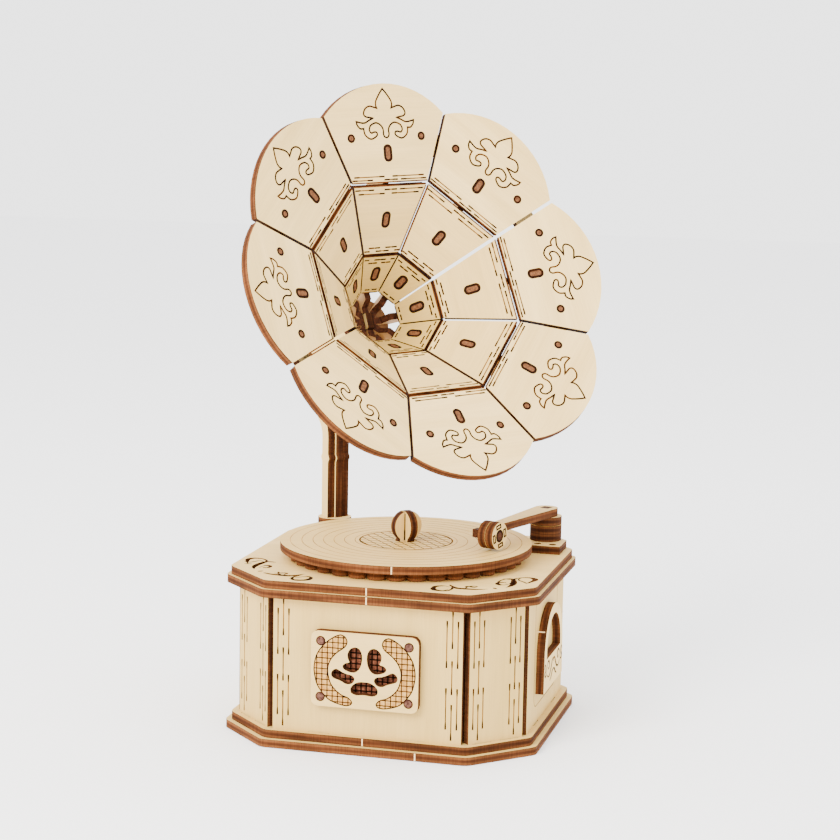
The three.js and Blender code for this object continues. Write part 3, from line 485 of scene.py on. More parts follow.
@dataclass
class Surface:
    """Corners in millimetres and the faces between them, gathered before they become a mesh."""

    corners: list[np.ndarray] = field(default_factory=list)
    faces: list[np.ndarray] = field(default_factory=list)
    stud_sides: int = 16
    plate_depth: float = 0.03
    least_mitre: float = 0.55

    def add(self, corners: np.ndarray, faces: Iterable[np.ndarray]) -> None:
        """Adds one block of corners with its faces.

        Args:
            corners: the corners, with three coordinates on the last axis.
            faces: arrays of faces that count from the block's first corner.
        """
        start = sum(len(block) for block in self.corners)
        self.corners.append(corners.reshape(-1, 3))
        self.faces.extend(block + start for block in faces)

    def lines(
        self,
        paths: np.ndarray,
        normals: np.ndarray | Vector,
        width: float | np.ndarray,
        proud: float = 0.04,
        sunk: float = 0.06,
        closed: bool = False,
    ) -> None:
        """Lays flat bars along paths on a surface.

        At each point of a path the bar's section is a thin rectangle: the side direction is the
        surface normal crossed with the path's direction there, half the width each way, from just
        under the surface to just over it. At a bend the half width grows by one over the cosine of
        half the turn.

        Args:
            paths: k paths of n points each, as a (k, n, 3) array in millimetres, or one as (n, 3).
            normals: the surface's outward direction, in any shape that spreads to the paths.
            width: the bars' width, in any shape that spreads to (k, n).
            proud: how far the bars stand out of the surface.
            sunk: how far they reach under it.
            closed: whether each path runs back to its first point.
        """
        points = np.asarray(paths, float)
        points = points if points.ndim == 3 else points[None]
        count, length = points.shape[:2]
        up = np.broadcast_to(np.asarray(normals, float), points.shape)
        ahead = np.roll(points, -1, axis=1) - points
        if not closed:
            ahead[:, -1] = ahead[:, -2]
        ahead /= np.linalg.norm(ahead, axis=2, keepdims=True)
        behind = np.roll(ahead, 1, axis=1)
        if not closed:
            behind[:, 0] = ahead[:, 0]
        along = ahead + behind
        along /= np.maximum(np.linalg.norm(along, axis=2, keepdims=True), TINY)
        mitre = 1 / np.maximum((along * ahead).sum(axis=2, keepdims=True), self.least_mitre)
        half = np.broadcast_to(np.asarray(width, float) / 2, (count, length))[..., None]
        side = np.cross(up, along) * half * mitre
        section = np.stack([
            points + side - sunk * up, points - side - sunk * up,
            points - side + proud * up, points + side + proud * up,
        ], axis=2)
        base = (np.arange(count) * length)[:, None] + np.arange(length)[None, :]
        after = np.roll(base, -1, axis=1)
        if not closed:
            base, after = base[:, :-1], after[:, :-1]
        base, after = base.reshape(-1, 1) * 4, after.reshape(-1, 1) * 4
        turn = np.arange(4)[None, :]
        following = (turn + 1) % 4
        quads = np.stack([base + turn, after + turn, after + following, base + following], axis=2)
        faces = [quads.reshape(-1, 4)]
        if not closed:
            first = (np.arange(count) * length * 4)[:, None]
            faces += [first + [0, 1, 2, 3], first + (length - 1) * 4 + [3, 2, 1, 0]]
        self.add(section, faces)

    def draw(
        self, lie: Lie, paths: np.ndarray | Spots, width: float | Vector | np.ndarray, **rise: Any
    ) -> None:
        """Lays bars along flat paths on a sheet, with lines' own proud, sunk and closed."""
        self.lines(lie.place(paths), lie.out, width, **rise)

    def studs(self, lie: Lie, centres: Sequence[Vector], profile: Spots) -> None:
        """Turns a profile round each centre on a sheet, and closes it at both ends.

        Args:
            lie: the sheet that the studs stand on.
            centres: their places on the sheet.
            profile: rows of radius and height, from the foot up.
        """
        sides = self.stud_sides
        places, shape = np.asarray(centres, float), np.asarray(profile, float)
        flat = places[:, None, None, :] + shape[None, :, None, :1] * ring(1.0, sides)
        corners = lie.place(flat) + shape[None, :, None, 1:] * lie.out
        count, rows = len(places), len(shape)
        block = (np.arange(count) * rows * sides)[:, None, None]
        row = (np.arange(rows - 1) * sides)[None, :, None]
        turn = np.arange(sides)[None, None, :]
        following = (turn + 1) % sides
        quads = np.stack([
            block + row + turn, block + row + following,
            block + row + sides + following, block + row + sides + turn,
        ], axis=3)
        rim = np.arange(sides)[None, :]
        foot = block[:, 0, :] + rim[:, ::-1]
        top = block[:, 0, :] + (rows - 1) * sides + rim
        self.add(corners, [quads.reshape(-1, 4), foot, top])

    def plate(self, lie: Lie, outline: np.ndarray, proud: float) -> None:
        """Fills a closed outline on a sheet with a thin plate that stands a little out of it.

        Args:
            lie: how the sheet lies.
            outline: the outline's flat (n, 2) points, anticlockwise as seen from outside.
            proud: how far the plate stands out.
        """
        count, flat = len(outline), lie.place(outline)
        corners = np.concatenate([flat - self.plate_depth * lie.out, flat + proud * lie.out])
        rim = np.arange(count)
        following = (rim + 1) % count
        sides = np.stack([rim, following, following + count, rim + count], axis=1)
        self.add(corners, [sides, rim[None, ::-1], rim[None, :] + count])

    def piece(
        self, name: str, material: Material, body: Body = Body.CASE, slot: Slot = Slot.PLY
    ) -> None:
        """Makes the gathered surface a piece at the origin that rides on a body.

        Args:
            name: the piece's name.
            material: its finish.
            body: the body that carries it.
            slot: not used.
        """
        mesh = bpy.data.meshes.new(name)
        corners = np.concatenate(self.corners) * MM
        rows = [row for block in self.faces for row in block.tolist()]
        mesh.from_pydata(corners.tolist(), [], rows)
        mesh.materials.append(material)
        mesh.update()
        made = bpy.data.objects.new(name, mesh)
        bpy.context.scene.collection.objects.link(made)
        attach(made, body.value)
        log.info("%s: %d faces on %s", name, len(mesh.polygons), body.value)


def spline(points: Sequence[Vector], steps: int) -> np.ndarray:
    """A smooth open line through its points.

    Between two points p1 and p2, with p0 before and p3 after, the place at share t is half of
    2 p1 + (p2 - p0) t + (2 p0 - 5 p1 + 4 p2 - p3) t^2 + (3 p1 - p0 - 3 p2 + p3) t^3.

    Args:
        points: the points to pass through.
        steps: how many stretches lie between two of them.

    Returns:
        The line's points, both ends among them.
    """
    given = np.asarray(points, float)
    padded = np.concatenate([given[:1], given, given[-1:]])[:, None, :]
    before, first, second, after = padded[:-3], padded[1:-2], padded[2:-1], padded[3:]
    t = (np.arange(steps) / steps)[None, :, None]
    line = 0.5 * (
        2 * first
        + (second - before) * t
        + (2 * before - 5 * first + 4 * second - after) * t**2
        + (3 * first - before - 3 * second + after) * t**3
    )
    return np.concatenate([line.reshape(-1, given.shape[1]), given[-1:]])


def swelling(line: np.ndarray, thin: float, gain: float) -> np.ndarray:
    """Widths along a line: thin plus the gain times the squared sine of the way along."""
    return thin + gain * np.sin(np.linspace(0, np.pi, len(line))) ** 2


def heading(degrees: float) -> np.ndarray:
    """The level unit direction at an angle from +X."""
    angle = math.radians(degrees)
    return np.array([math.cos(angle), math.sin(angle), 0.0])


def rolled(right: np.ndarray, up: np.ndarray, degrees: float) -> tuple[np.ndarray, np.ndarray]:
    """Turns two directions at right angles in their own plane.

    Args:
        right: the first direction.
        up: the second one.
        degrees: the turn from right towards up.

    Returns:
        Both directions after the turn.
    """
    cosine, sine = math.cos(math.radians(degrees)), math.sin(math.radians(degrees))
    return cosine * right + sine * up, cosine * up - sine * right


def ring(radius: float, sides: int) -> np.ndarray:
    """Points round a circle, anticlockwise."""
    angle = np.arange(sides) * 2 * np.pi / sides
    return radius * np.stack([np.cos(angle), np.sin(angle)], axis=1)


def rounded_box(half_x: float, half_y: float, radius: float, steps: int = 6) -> np.ndarray:
    """Points round a box with rounded corners, anticlockwise.

    Each corner is a quarter circle about a point that lies the radius in from both sides.

    Args:
        half_x: half the box's width.
        half_y: half its height.
        radius: the corners' radius.
        steps: how many points each corner gets.

    Returns:
        The outline's points.
    """
    angle = (np.arange(4) * np.pi / 2)[:, None] + np.linspace(0, np.pi / 2, steps)[None, :]
    centres = np.array([(1, 1), (-1, 1), (-1, -1), (1, -1)]) * (half_x - radius, half_y - radius)
    arcs = centres[:, None, :] + radius * np.stack([np.cos(angle), np.sin(angle)], axis=2)
    return arcs.reshape(-1, 2)


def cross_lines(outline: np.ndarray, pitch: float, degrees: float) -> np.ndarray:
    """Parallel lines that fill a closed outline.

    The outline is turned back by the angle, so that the lines lie along x. A line at height y
    crosses the edge from a to b where the share (y - a.y) / (b.y - a.y) is between 0 and 1, and it
    is drawn between the first and second crossing, the third and fourth, and so on.

    Args:
        outline: the closed outline's (n, 2) points.
        pitch: the distance between lines.
        degrees: the lines' angle.

    Returns:
        A (k, 2, 2) array of the lines' ends.
    """
    angle = math.radians(degrees)
    back = np.array([[math.cos(angle), -math.sin(angle)], [math.sin(angle), math.cos(angle)]])
    flat = outline @ back
    following = np.roll(flat, -1, axis=0)
    rise = following[:, 1] - flat[:, 1]
    rise = np.where(np.abs(rise) < LEAST_RISE, LEAST_RISE, rise)
    low, high = flat[:, 1].min(), flat[:, 1].max()
    found = []
    for height in np.arange(math.ceil(low / pitch) * pitch, high, pitch):
        share = (height - flat[:, 1]) / rise
        hit = (share >= 0) & (share < 1)
        across = np.sort((flat[:, 0] + share * (following[:, 0] - flat[:, 0]))[hit])
        pairs = across[: len(across) // 2 * 2].reshape(-1, 2)
        found.append(np.stack([pairs, np.full_like(pairs, height)], axis=2))
    return np.concatenate(found) @ back.T


def polygons(node: str, fact: str) -> np.ndarray:
    """Reads one fact of each polygon of a node of the part.

    Args:
        node: the node's name.
        fact: "normal", "center" or "area".

    Returns:
        The areas, or rows of three coordinates, in metres.
    """
    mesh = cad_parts[node].data
    values = np.empty(len(mesh.polygons) * (1 if fact == "area" else 3))
    mesh.polygons.foreach_get(fact, values)
    return values if fact == "area" else values.reshape(-1, 3)


# ---------------------------------------------------------------- the shared finishes


@dataclass
class Workshop:
    """The finishes that several sub-assemblies share, each built once."""

    veneer: BirchVeneer = BirchVeneer()
    edge: BurntEdge = BurntEdge()
    face_cosine: float = 0.985
    rim_cosine: float = 0.35
    joint_char: float = 0.75
    golden: float = 0.6180339887
    log_length: float = 400.0
    made: dict[str, Material] = field(default_factory=dict)

    def finish(self, kind: Engraving | PlainWood | WorkedMetal) -> Material:
        """Gives a finish that needs no sheet, and builds it at its first use.

        Args:
            kind: the finish.

        Returns:
            Its material.
        """
        if kind.name not in self.made:
            self.made[kind.name] = kind.material()
        return self.made[kind.name]

    def chance(self, name: str) -> float:
        """A fixed number from 0 to 1 that differs from sheet to sheet."""
        return sum(ord(letter) * i for i, letter in enumerate(name, 3)) * self.golden % 1.0

    def lie_of(self, node: str, grain: Vector) -> Lie:
        """Finds how a flat sheet lies: outward is the direction that most of its area faces.

        Args:
            node: the sheet's node.
            grain: roughly where its grain runs.

        Returns:
            The lie, its middle halfway through the sheet.
        """
        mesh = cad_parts[node].data
        normals, areas = polygons(node, "normal"), polygons(node, "area")
        out = np.linalg.eigh((normals * areas[:, None]).T @ normals)[1][:, -1]
        corners = np.empty(len(mesh.vertices) * 3)
        mesh.vertices.foreach_get("co", corners)
        middle = (corners.reshape(-1, 3) / MM).mean(axis=0)
        faces = np.abs(normals @ out) > self.face_cosine
        levels = (polygons(node, "center") / MM @ out)[faces]
        halfway = np.average(levels, weights=areas[faces])
        low, high = np.median(levels[levels < halfway]), np.median(levels[levels >= halfway])
        middle += ((low + high) / 2 - middle @ out) * out
        return Lie.of(middle, out, grain)

    def dress(
        self, node: str, finishes: Sequence[Material], which: np.ndarray | None = None
    ) -> None:
        """Gives a node of the part its finishes.

        Args:
            node: the node's name.
            finishes: its materials.
            which: for each polygon, the number of its material; the first for all if left out.
        """
        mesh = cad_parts[node].data
        mesh.materials.clear()
        for finish in finishes:
            mesh.materials.append(finish)
        if which is None:
            which = np.zeros(len(mesh.polygons))
        mesh.polygons.foreach_set("material_index", which.astype(np.int32))
        mesh.update()

    def dress_sheet(
        self, node: str, grain: Vector, warmth: float, char: float, rim: np.ndarray | None = None
    ) -> Lie:
        """Veneers the two faces of a flat sheet and burns its edges.

        Args:
            node: the sheet's node.
            grain: roughly where its grain runs.
            warmth: how warm its veneer is, from 0 to 1.
            char: how dark its edges are, from 0 to 1.
            rim: where the sheet's free rim looks; its other edges are then burnt nearly black.

        Returns:
            How the sheet lies.
        """
        lie, normals = self.lie_of(node, grain), polygons(node, "normal")
        which = (np.abs(normals @ lie.out) < self.face_cosine).astype(np.int32)
        face = self.veneer.material(node, lie.moved(x=self.chance(node) * self.log_length), warmth)
        finishes = [face, self.edge.material(node, lie, char)]
        if rim is not None:
            which[(which == 1) & (normals @ rim < self.rim_cosine)] = 2
            finishes.append(self.edge.material(f"{node}_joint", lie, self.joint_char))
        self.dress(node, finishes, which)
        return lie


# ---------------------------------------------------------------- case


@dataclass
class CaseDressing:
    """The eight sided case: its slabs and walls, the lines drawn on them and the break marks.

    Each row of sheets gives a node, its grain, its warmth and how dark its edges are.
    """

    shop: Workshop
    half_width: float = 50.6
    half_depth: float = 48.6
    corner_cut: float = 16.04
    wall_level: float = 6.0
    wall_height: float = 48.2
    sheets: Sheets = (
        ("foot_slab", EAST, 0.7, 0.12), ("plinth_slab", EAST, 0.7, 0.42),
        ("cornice_slab", EAST, 0.7, 0.32), ("deck_slab", EAST, 0.5, 0.32),
        ("wall_front", UP, 0.7, 0.5), ("wall_front_right", UP, 0.7, 0.5),
        ("wall_right", UP, 0.7, 0.5), ("wall_back_right", UP, 0.7, 0.5),
        ("wall_back", UP, 0.7, 0.5), ("wall_back_left", UP, 0.7, 0.5),
        ("wall_left", UP, 0.7, 0.5), ("wall_front_left", UP, 0.7, 0.5),
    )
    slit_walls: tuple[int, ...] = (0, 1, 3, 4, 5, 7)
    outer_slits: Spots = ((27.2, 44.0), (5.2, 20.0))
    inner_slits: Spots = ((34.1, 47.9), (17.7, 29.8), (1.3, 14.2))
    slits: tuple[tuple[float, Spots], ...] = (
        (1.86, outer_slits), (3.86, inner_slits), (5.86, outer_slits),
    )
    slit_width: float = 0.38
    slit_end: tuple[float, float] = (0.6, 2.6)
    slit_end_proud: float = 0.05
    border_walls: tuple[int, ...] = (2, 6)
    border_inset: float = 2.4
    border_rise: float = 6.2
    border_width: float = 0.22
    border_rounding: float = 4.0
    border_margin: float = 12.5
    tick_width: float = 0.45
    tick_margin: float = 0.15
    tick_proud: float = 0.06
    ticks: tuple[tuple[str, float, float], ...] = (
        ("foot_slab", 0.0, 19.0), ("plinth_slab", 3.0, -0.6),
        ("cornice_slab", 54.2, 0.6), ("deck_slab", 57.2, 0.2),
    )
    hairline: Engraving = Engraving(
        "hairline", dark="#3c220b", light="#80561f", darkness=0.6, run=9.0
    )
    ends: Engraving = Engraving("slit_end", dark="#1f0f04", light="#432409", darkness=0.8)
    deck_top: float = 60.2
    stroke: tuple[float, float] = (0.3, 0.45)
    strokes: tuple[Spots, ...] = (
        ((53.4, -21.6), (53.6, -24.9), (53.0, -27.1), (51.9, -29.2), (50.0, -27.3), (48.0, -25.1),
         (48.1, -22.2), (49.5, -20.0)),
        ((47.3, -24.6), (45.0, -23.7), (43.3, -25.1), (42.1, -28.2), (42.0, -31.7), (43.2, -34.2),
         (44.8, -34.6), (46.0, -32.8), (46.4, -29.8)),
        ((22.0, -48.3), (21.8, -45.2), (23.2, -43.3), (25.2, -42.8), (27.5, -44.0)),
        ((22.5, -49.3), (24.9, -51.1), (26.7, -50.3), (27.9, -47.9)),
        ((33.1, -44.9), (33.4, -42.0), (34.6, -40.0), (36.6, -40.1)),
        ((26.7, -41.5), (28.6, -43.6), (30.4, -45.8), (31.8, -44.9)),
        ((-54.0, -26.3), (-53.0, -27.6), (-51.3, -27.8), (-50.0, -25.8), (-48.8, -24.1),
         (-47.1, -25.4)),
        ((-52.5, -30.7), (-51.3, -30.5), (-49.8, -30.4)),
        ((-29.3, -49.3), (-29.0, -46.8), (-28.0, -44.7), (-27.1, -41.7)),
        ((-28.7, -50.5), (-26.1, -51.7), (-23.8, -50.6), (-22.5, -48.4), (-22.2, -45.7),
         (-23.7, -44.4), (-25.7, -44.8), (-27.1, -46.5), (-27.9, -47.9)),
        ((-37.4, -42.3), (-35.6, -42.9), (-33.5, -44.9), (-32.9, -41.7)),
        ((-45.4, -35.4), (-44.7, -32.7), (-43.1, -31.5), (-42.4, -32.5), (-42.7, -34.5),
         (-44.0, -34.9)),
        ((-41.1, -43.3), (-38.4, -44.8), (-36.0, -45.4), (-33.1, -45.3), (-31.0, -44.0)),
    )

    def wall(self, index: int) -> tuple[Lie, float]:
        """A wall's outer face, the walls being counted from the front one anticlockwise.

        Each wall runs between two corners of the eight sided plan, which is a box with cut corners.

        Args:
            index: the wall's number, from 0 at the front.

        Returns:
            Its lie, from the middle of its foot with x along it and y up, and its length.
        """
        x, y, cut = self.half_width, self.half_depth, self.corner_cut
        corners = np.array([(cut - x, -y), (x - cut, -y), (x, cut - y), (x, y - cut),
                            (x - cut, y), (cut - x, y), (-x, y - cut), (-x, cut - y)])
        start, end = corners[index], corners[(index + 1) % 8]
        length = float(np.linalg.norm(end - start))
        along = (end - start) / length
        out = np.array([along[1], -along[0], 0.0])
        foot = np.append((start + end) / 2, self.wall_level) + PLY * out
        return Lie(foot, np.append(along, 0.0), np.array(UP), out), length

    def draw_slits(self) -> None:
        """Draws the three broken hairlines near each end of the front, back and corner walls."""
        thin, ends = Surface(), Surface()
        tip, reach = self.slit_end
        widths = (tip, tip, self.slit_width)
        for index in self.slit_walls:
            lie, run = self.wall(index)
            for inset, rows in self.slits:
                spans = np.array(rows)
                for side in (-1, 1):
                    x = side * (run / 2 - inset)
                    columns = np.stack([np.full_like(spans, x), spans], axis=2)
                    thin.draw(lie, columns, self.slit_width)
                    for end, inward in ((0, 1), (1, -1)):
                        rises = spans[:, end, None] + np.array([0.0, 0.5, 1.0]) * inward * reach
                        wedges = np.stack([np.full_like(rises, x), rises], axis=2)
                        ends.draw(lie, wedges, widths, proud=self.slit_end_proud)
        thin.piece("wall_slits", self.shop.finish(self.hairline))
        ends.piece("wall_slit_ends", self.shop.finish(self.ends))

    def draw_borders(self) -> None:
        """Draws the thin round cornered border on the two side walls."""
        border = Surface()
        high = self.wall_height - self.border_inset
        half_y, middle = (high - self.border_rise) / 2, (high + self.border_rise) / 2
        for index in self.border_walls:
            lie, run = self.wall(index)
            half_x = run / 2 - self.border_margin
            outline = rounded_box(half_x, half_y, self.border_rounding) + (0, middle)
            border.draw(lie, outline, self.border_width, closed=True)
        border.piece("side_borders", self.shop.finish(self.hairline))

    def draw_deck_strokes(self) -> None:
        """Draws the burnt strokes that close the loops of the scrolls cut through the deck."""
        drawn = Surface()
        for stroke in self.strokes:
            line = spline(stroke, steps=4)
            drawn.draw(LEVEL.moved(lift=self.deck_top), line, swelling(line, *self.stroke))
        drawn.piece("deck_scroll_strokes", self.shop.finish(self.ends))

    def set_break_marks(self) -> None:
        """Sets the pale stubs where the slabs were broken out of their board, on the front."""
        marks = Surface()
        for node, level, x in self.ticks:
            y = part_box(node)[0][1] / MM
            low, high = level + self.tick_margin, level + PLY - self.tick_margin
            path = np.array([(x, y, low), (x, y, high)])
            marks.lines(path, (0.0, -1.0, 0.0), self.tick_width, proud=self.tick_proud)
        marks.piece("break_marks", self.shop.finish(BARE_BIRCH))

    def build(self) -> None:
        """Dresses the slabs and walls and draws on them."""
        for sheet in self.sheets:
            self.shop.dress_sheet(*sheet)
        self.draw_slits()
        self.draw_borders()
        self.draw_deck_strokes()
        self.set_break_marks()


@dataclass
class GrilleDressing:
    """The plate on the front wall: its hatched crescents and pins, and the patch of painted shade
    on the wall behind it.
    """

    shop: Workshop
    case: CaseDressing
    plate_middle: float = 24.15
    shade_patch_half: tuple[float, float] = (15.0, 10.55)
    pitch: float = 1.93
    line: float = 0.42
    hatch_line: float = 0.357
    deep_line: float = 0.55
    deep_proud: float = 0.06
    toast_proud: float = 0.015
    shade_patch_proud: float = 0.03
    pin_ring: float = 1.45
    pin_places: Spots = ((-16.0, 9.95), (16.0, 9.95), (16.0, -10.15), (-16.0, -10.15))
    pin_profile: Spots = ((1.35, -0.2), (1.35, 0.1), (1.2, 0.2))
    crescent: Spots = (
        (-8.7, 12.6), (-7.25, 12.0), (-6.4, 10.3), (-7.25, 8.3), (-10.0, 6.2), (-12.3, 3.5),
        (-13.3, 0.5), (-13.1, -2.35), (-12.2, -5.2), (-10.5, -7.3), (-8.2, -9.0),
        (-5.9, -9.8), (-4.5, -11.15),
        (-4.9, -12.2), (-6.6, -12.7), (-9.2, -12.3), (-12.2, -11.3), (-14.3, -9.7), (-16.2, -7.4),
        (-17.4, -5.2), (-18.2, -1.8), (-18.3, 0.8), (-17.7, 4.0), (-16.6, 6.3), (-14.8, 8.7),
        (-12.8, 10.5), (-10.5, 12.0), (-8.7, 12.6),
    )
    char: Engraving = Engraving("grille", dark="#200e05", light="#40220f", darkness=0.75, run=3.0)
    toast: PlainWood = PlainWood("toasted_veneer", "#c39552", "#a87638", 1.2)
    pin_end: PlainWood = PlainWood("singed_pin_end", "#6a4638", "#3a211a", 0.9)
    # painted shade: a dark brown patch for the shade on the wall behind the plate, seen through its
    # holes
    behind_grille_shade: PlainWood = PlainWood("painted_shade_behind_grille", "#7a4630", "#3f1e10", 1.4)

    def build(self) -> None:
        """Dresses the plate, and draws the crescents, the pins and the painted shade behind the
        holes, with its hatching.
        """
        self.shop.dress_sheet("grille_plate", EAST, 0.45, 0.5)
        behind = self.case.wall(0)[0].moved(y=self.plate_middle)
        face = behind.moved(lift=PLY)
        hatch, toast, pins, ground, lines = (Surface() for _ in range(5))
        left = spline(self.crescent, steps=3)[:-1]
        for outline in (left, (left * (-1, 1))[::-1]):
            hatch.draw(face, outline, self.line, closed=True)
            around = np.roll(outline, -1, axis=0)
            signed = (outline[:, 0] * around[:, 1] - around[:, 0] * outline[:, 1]).sum()
            toast.plate(face, outline if signed > 0 else outline[::-1], self.toast_proud)
            for degrees in (0, 90):
                hatch.draw(face, cross_lines(outline, self.pitch, degrees), self.hatch_line)
        loops = np.stack([ring(self.pin_ring, SMALL_RING) + centre for centre in self.pin_places])
        hatch.draw(face, loops, self.deep_line, proud=self.deep_proud, closed=True)
        hatch.piece("grille_hatching", self.shop.finish(self.char))
        toast.piece("grille_toasted_ground", self.shop.finish(self.toast))
        pins.studs(face, self.pin_places, self.pin_profile)
        pins.piece("grille_pins", self.shop.finish(self.pin_end), slot=Slot.DOWEL)
        # the patch of painted shade behind the plate's holes
        patch = np.array([(-1, -1), (1, -1), (1, 1), (-1, 1)]) * self.shade_patch_half
        ground.plate(behind, patch, self.shade_patch_proud)
        ground.piece("grille_painted_shade", self.shop.finish(self.behind_grille_shade))
        for degrees in (0, 90):
            hatching = cross_lines(patch, self.pitch, degrees)
            lines.draw(behind, hatching, self.deep_line, proud=self.deep_proud)
        lines.piece("scorched_hatching", self.shop.finish(DEEP_CHAR))


@dataclass
class ArchDressing:
    """The arch plate on the right wall, with the row of small scrolls engraved under its window."""

    shop: Workshop
    case: CaseDressing
    scroll_rise: float = 19.0
    stroke: tuple[float, float] = (0.36, 0.66)
    tick_rise: float = 40.0
    tick_width: float = 0.32
    tick_inset: tuple[float, float] = (0.15, 0.12)
    tick_rises: tuple[float, float] = (0.2, 0.4)
    shapes: tuple[Spots, ...] = (
        ((-16.6, 1.0), (-15.6, 2.4), (-14.2, 1.6), (-14.6, 0.0), (-15.8, -0.9), (-14.9, -2.2),
         (-13.2, -1.6), (-12.4, 0.2)),
        ((-12.4, 0.2), (-10.6, 2.2), (-8.6, 2.4), (-7.6, 0.9), (-8.7, -0.5), (-10.0, 0.3)),
        ((-12.0, -2.0), (-9.4, -3.4), (-6.6, -3.0), (-4.4, -1.2), (-2.6, 0.8), (-0.6, 1.6),
         (0.0, 0.2)),
        ((-6.2, -5.6), (-4.0, -4.6), (-2.0, -3.0), (0.0, -2.4)),
    )
    char: Engraving = Engraving("arch", dark="#1f0e04", light="#5c3610", darkness=0.65)

    def build(self) -> None:
        """Dresses the plate and draws the scrolls on both sides of its middle."""
        self.shop.dress_sheet("arch_plate", UP, 0.15, 0.45)
        face = self.case.wall(2)[0].moved(y=self.scroll_rise, lift=PLY)
        scrolls, marks = Surface(), Surface()
        for shape in self.shapes:
            line = spline(shape, steps=5)
            for side in (-1, 1):
                scrolls.draw(face, line * (side, 1), swelling(line, *self.stroke))
        scrolls.piece("arch_scrolls", self.shop.finish(self.char))
        low, high = (np.array(corner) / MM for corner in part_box("arch_plate"))
        from_side, under = self.tick_inset
        proud, sunk = self.tick_rises
        for y, out in ((low[1], -1.0), (high[1], 1.0)):
            sides = low[0] + from_side, high[0] - from_side
            ends = np.array([(x, y - under * out, self.tick_rise) for x in sides])
            marks.lines(ends, (0.0, out, 0.0), self.tick_width, proud=proud, sunk=sunk)
        marks.piece("arch_break_marks", self.shop.finish(BARE_BIRCH))


# ---------------------------------------------------------------- turntable and arm


@dataclass
class TurntableDressing:
    """The platter, the record with its grooves and hatched label, and the cross knob.

    Each row of sheets gives a node, its grain, its warmth and how dark its edges are. The two discs
    of the knob come last. Each row of the crease gives a level and the gap's width there.
    """

    shop: Workshop
    sheets: Sheets = (
        ("platter", EAST, 0.7, 0.3), ("record_disc", (1.0, 0.15, 0.0), 0.7, 0.2),
        ("knob_disc_a", UP, 0.6, 0.6), ("knob_disc_b", UP, 0.6, 0.6),
    )
    record_radius: float = 46.6
    record_top: float = 66.5
    groove_shares: tuple[float, ...] = (0.406, 0.49, 0.574, 0.657, 0.74, 0.828, 0.92)
    groove_width: float = 0.2
    groove_sides: int = 144
    tick_degrees: float = -81.5
    tick_width: float = 0.45
    tick_inset: float = 0.03
    tick_levels: tuple[float, float] = (63.65, 66.35)
    tick_rises: tuple[float, float] = (0.06, 0.3)
    label_share: float = 0.368
    label_width: float = 0.6
    label_sides: int = 96
    hatch_pitch: float = 3.3
    hatch_width: float = 0.34
    hatch_degrees: tuple[float, float] = (38.0, -52.0)
    crease: Spots = ((67.0, 0.8), (68.6, 0.9), (70.6, 1.1), (70.7, 0.4), (75.0, 0.3), (76.8, 0.2))
    crease_rises: tuple[float, float] = (0.3, 0.4)
    gap: Engraving = Engraving("knob_gap", dark="#160903", light="#2e1808", darkness=0.8, run=3.0)
    groove: Engraving = Engraving(
        "groove", dark="#6a421a", light="#b08446", darkness=0.45, run=14.0
    )
    label: Engraving = Engraving("label", dark="#1f0e04", light="#6a4216", darkness=0.6, run=8.0)

    def draw_creases(self, discs: Sequence[Lie]) -> None:
        """Draws the dark gap in the four creases between the knob's crossed discs, wider low down.

        Args:
            discs: how the two discs lie.
        """
        gaps = Surface()
        heights, widths = np.array(self.crease).T
        first, second = (disc.out for disc in discs)
        proud, sunk = self.crease_rises
        for a, b in ((1, 1), (1, -1), (-1, 1), (-1, -1)):
            corner = (a * first + b * second) * PLY / 2
            path = np.column_stack([np.tile(corner[:2], (len(heights), 1)), heights])
            gaps.lines(path, corner / np.linalg.norm(corner), widths, proud=proud, sunk=sunk)
        gaps.piece("knob_creases", self.shop.finish(self.gap), Body.TURNTABLE)

    def build(self) -> None:
        """Dresses the turning pieces and engraves the record."""
        lies = [self.shop.dress_sheet(*sheet) for sheet in self.sheets]
        self.draw_creases(lies[-2:])
        top = LEVEL.moved(lift=self.record_top)
        grooves, label, mark = Surface(), Surface(), Surface()
        radii = [share * self.record_radius for share in self.groove_shares]
        rings = np.stack([ring(radius, self.groove_sides) for radius in radii])
        grooves.draw(top, rings, self.groove_width, closed=True)
        grooves.piece("record_grooves", self.shop.finish(self.groove), Body.TURNTABLE)
        outline = ring(self.label_share * self.record_radius, self.label_sides)
        label.draw(top, outline, self.label_width, closed=True)
        for degrees in self.hatch_degrees:
            label.draw(top, cross_lines(outline, self.hatch_pitch, degrees), self.hatch_width)
        label.piece("record_label", self.shop.finish(self.label), Body.TURNTABLE)
        proud, sunk = self.tick_rises
        for degrees in (self.tick_degrees, self.tick_degrees + 180):
            out = heading(degrees)
            rim = out[:2] * (self.record_radius - self.tick_inset)
            path = np.array([np.append(rim, level) for level in self.tick_levels])
            mark.lines(path, out, self.tick_width, proud=proud, sunk=sunk)
        mark.piece("record_break_marks", self.shop.finish(BARE_BIRCH), Body.TURNTABLE)


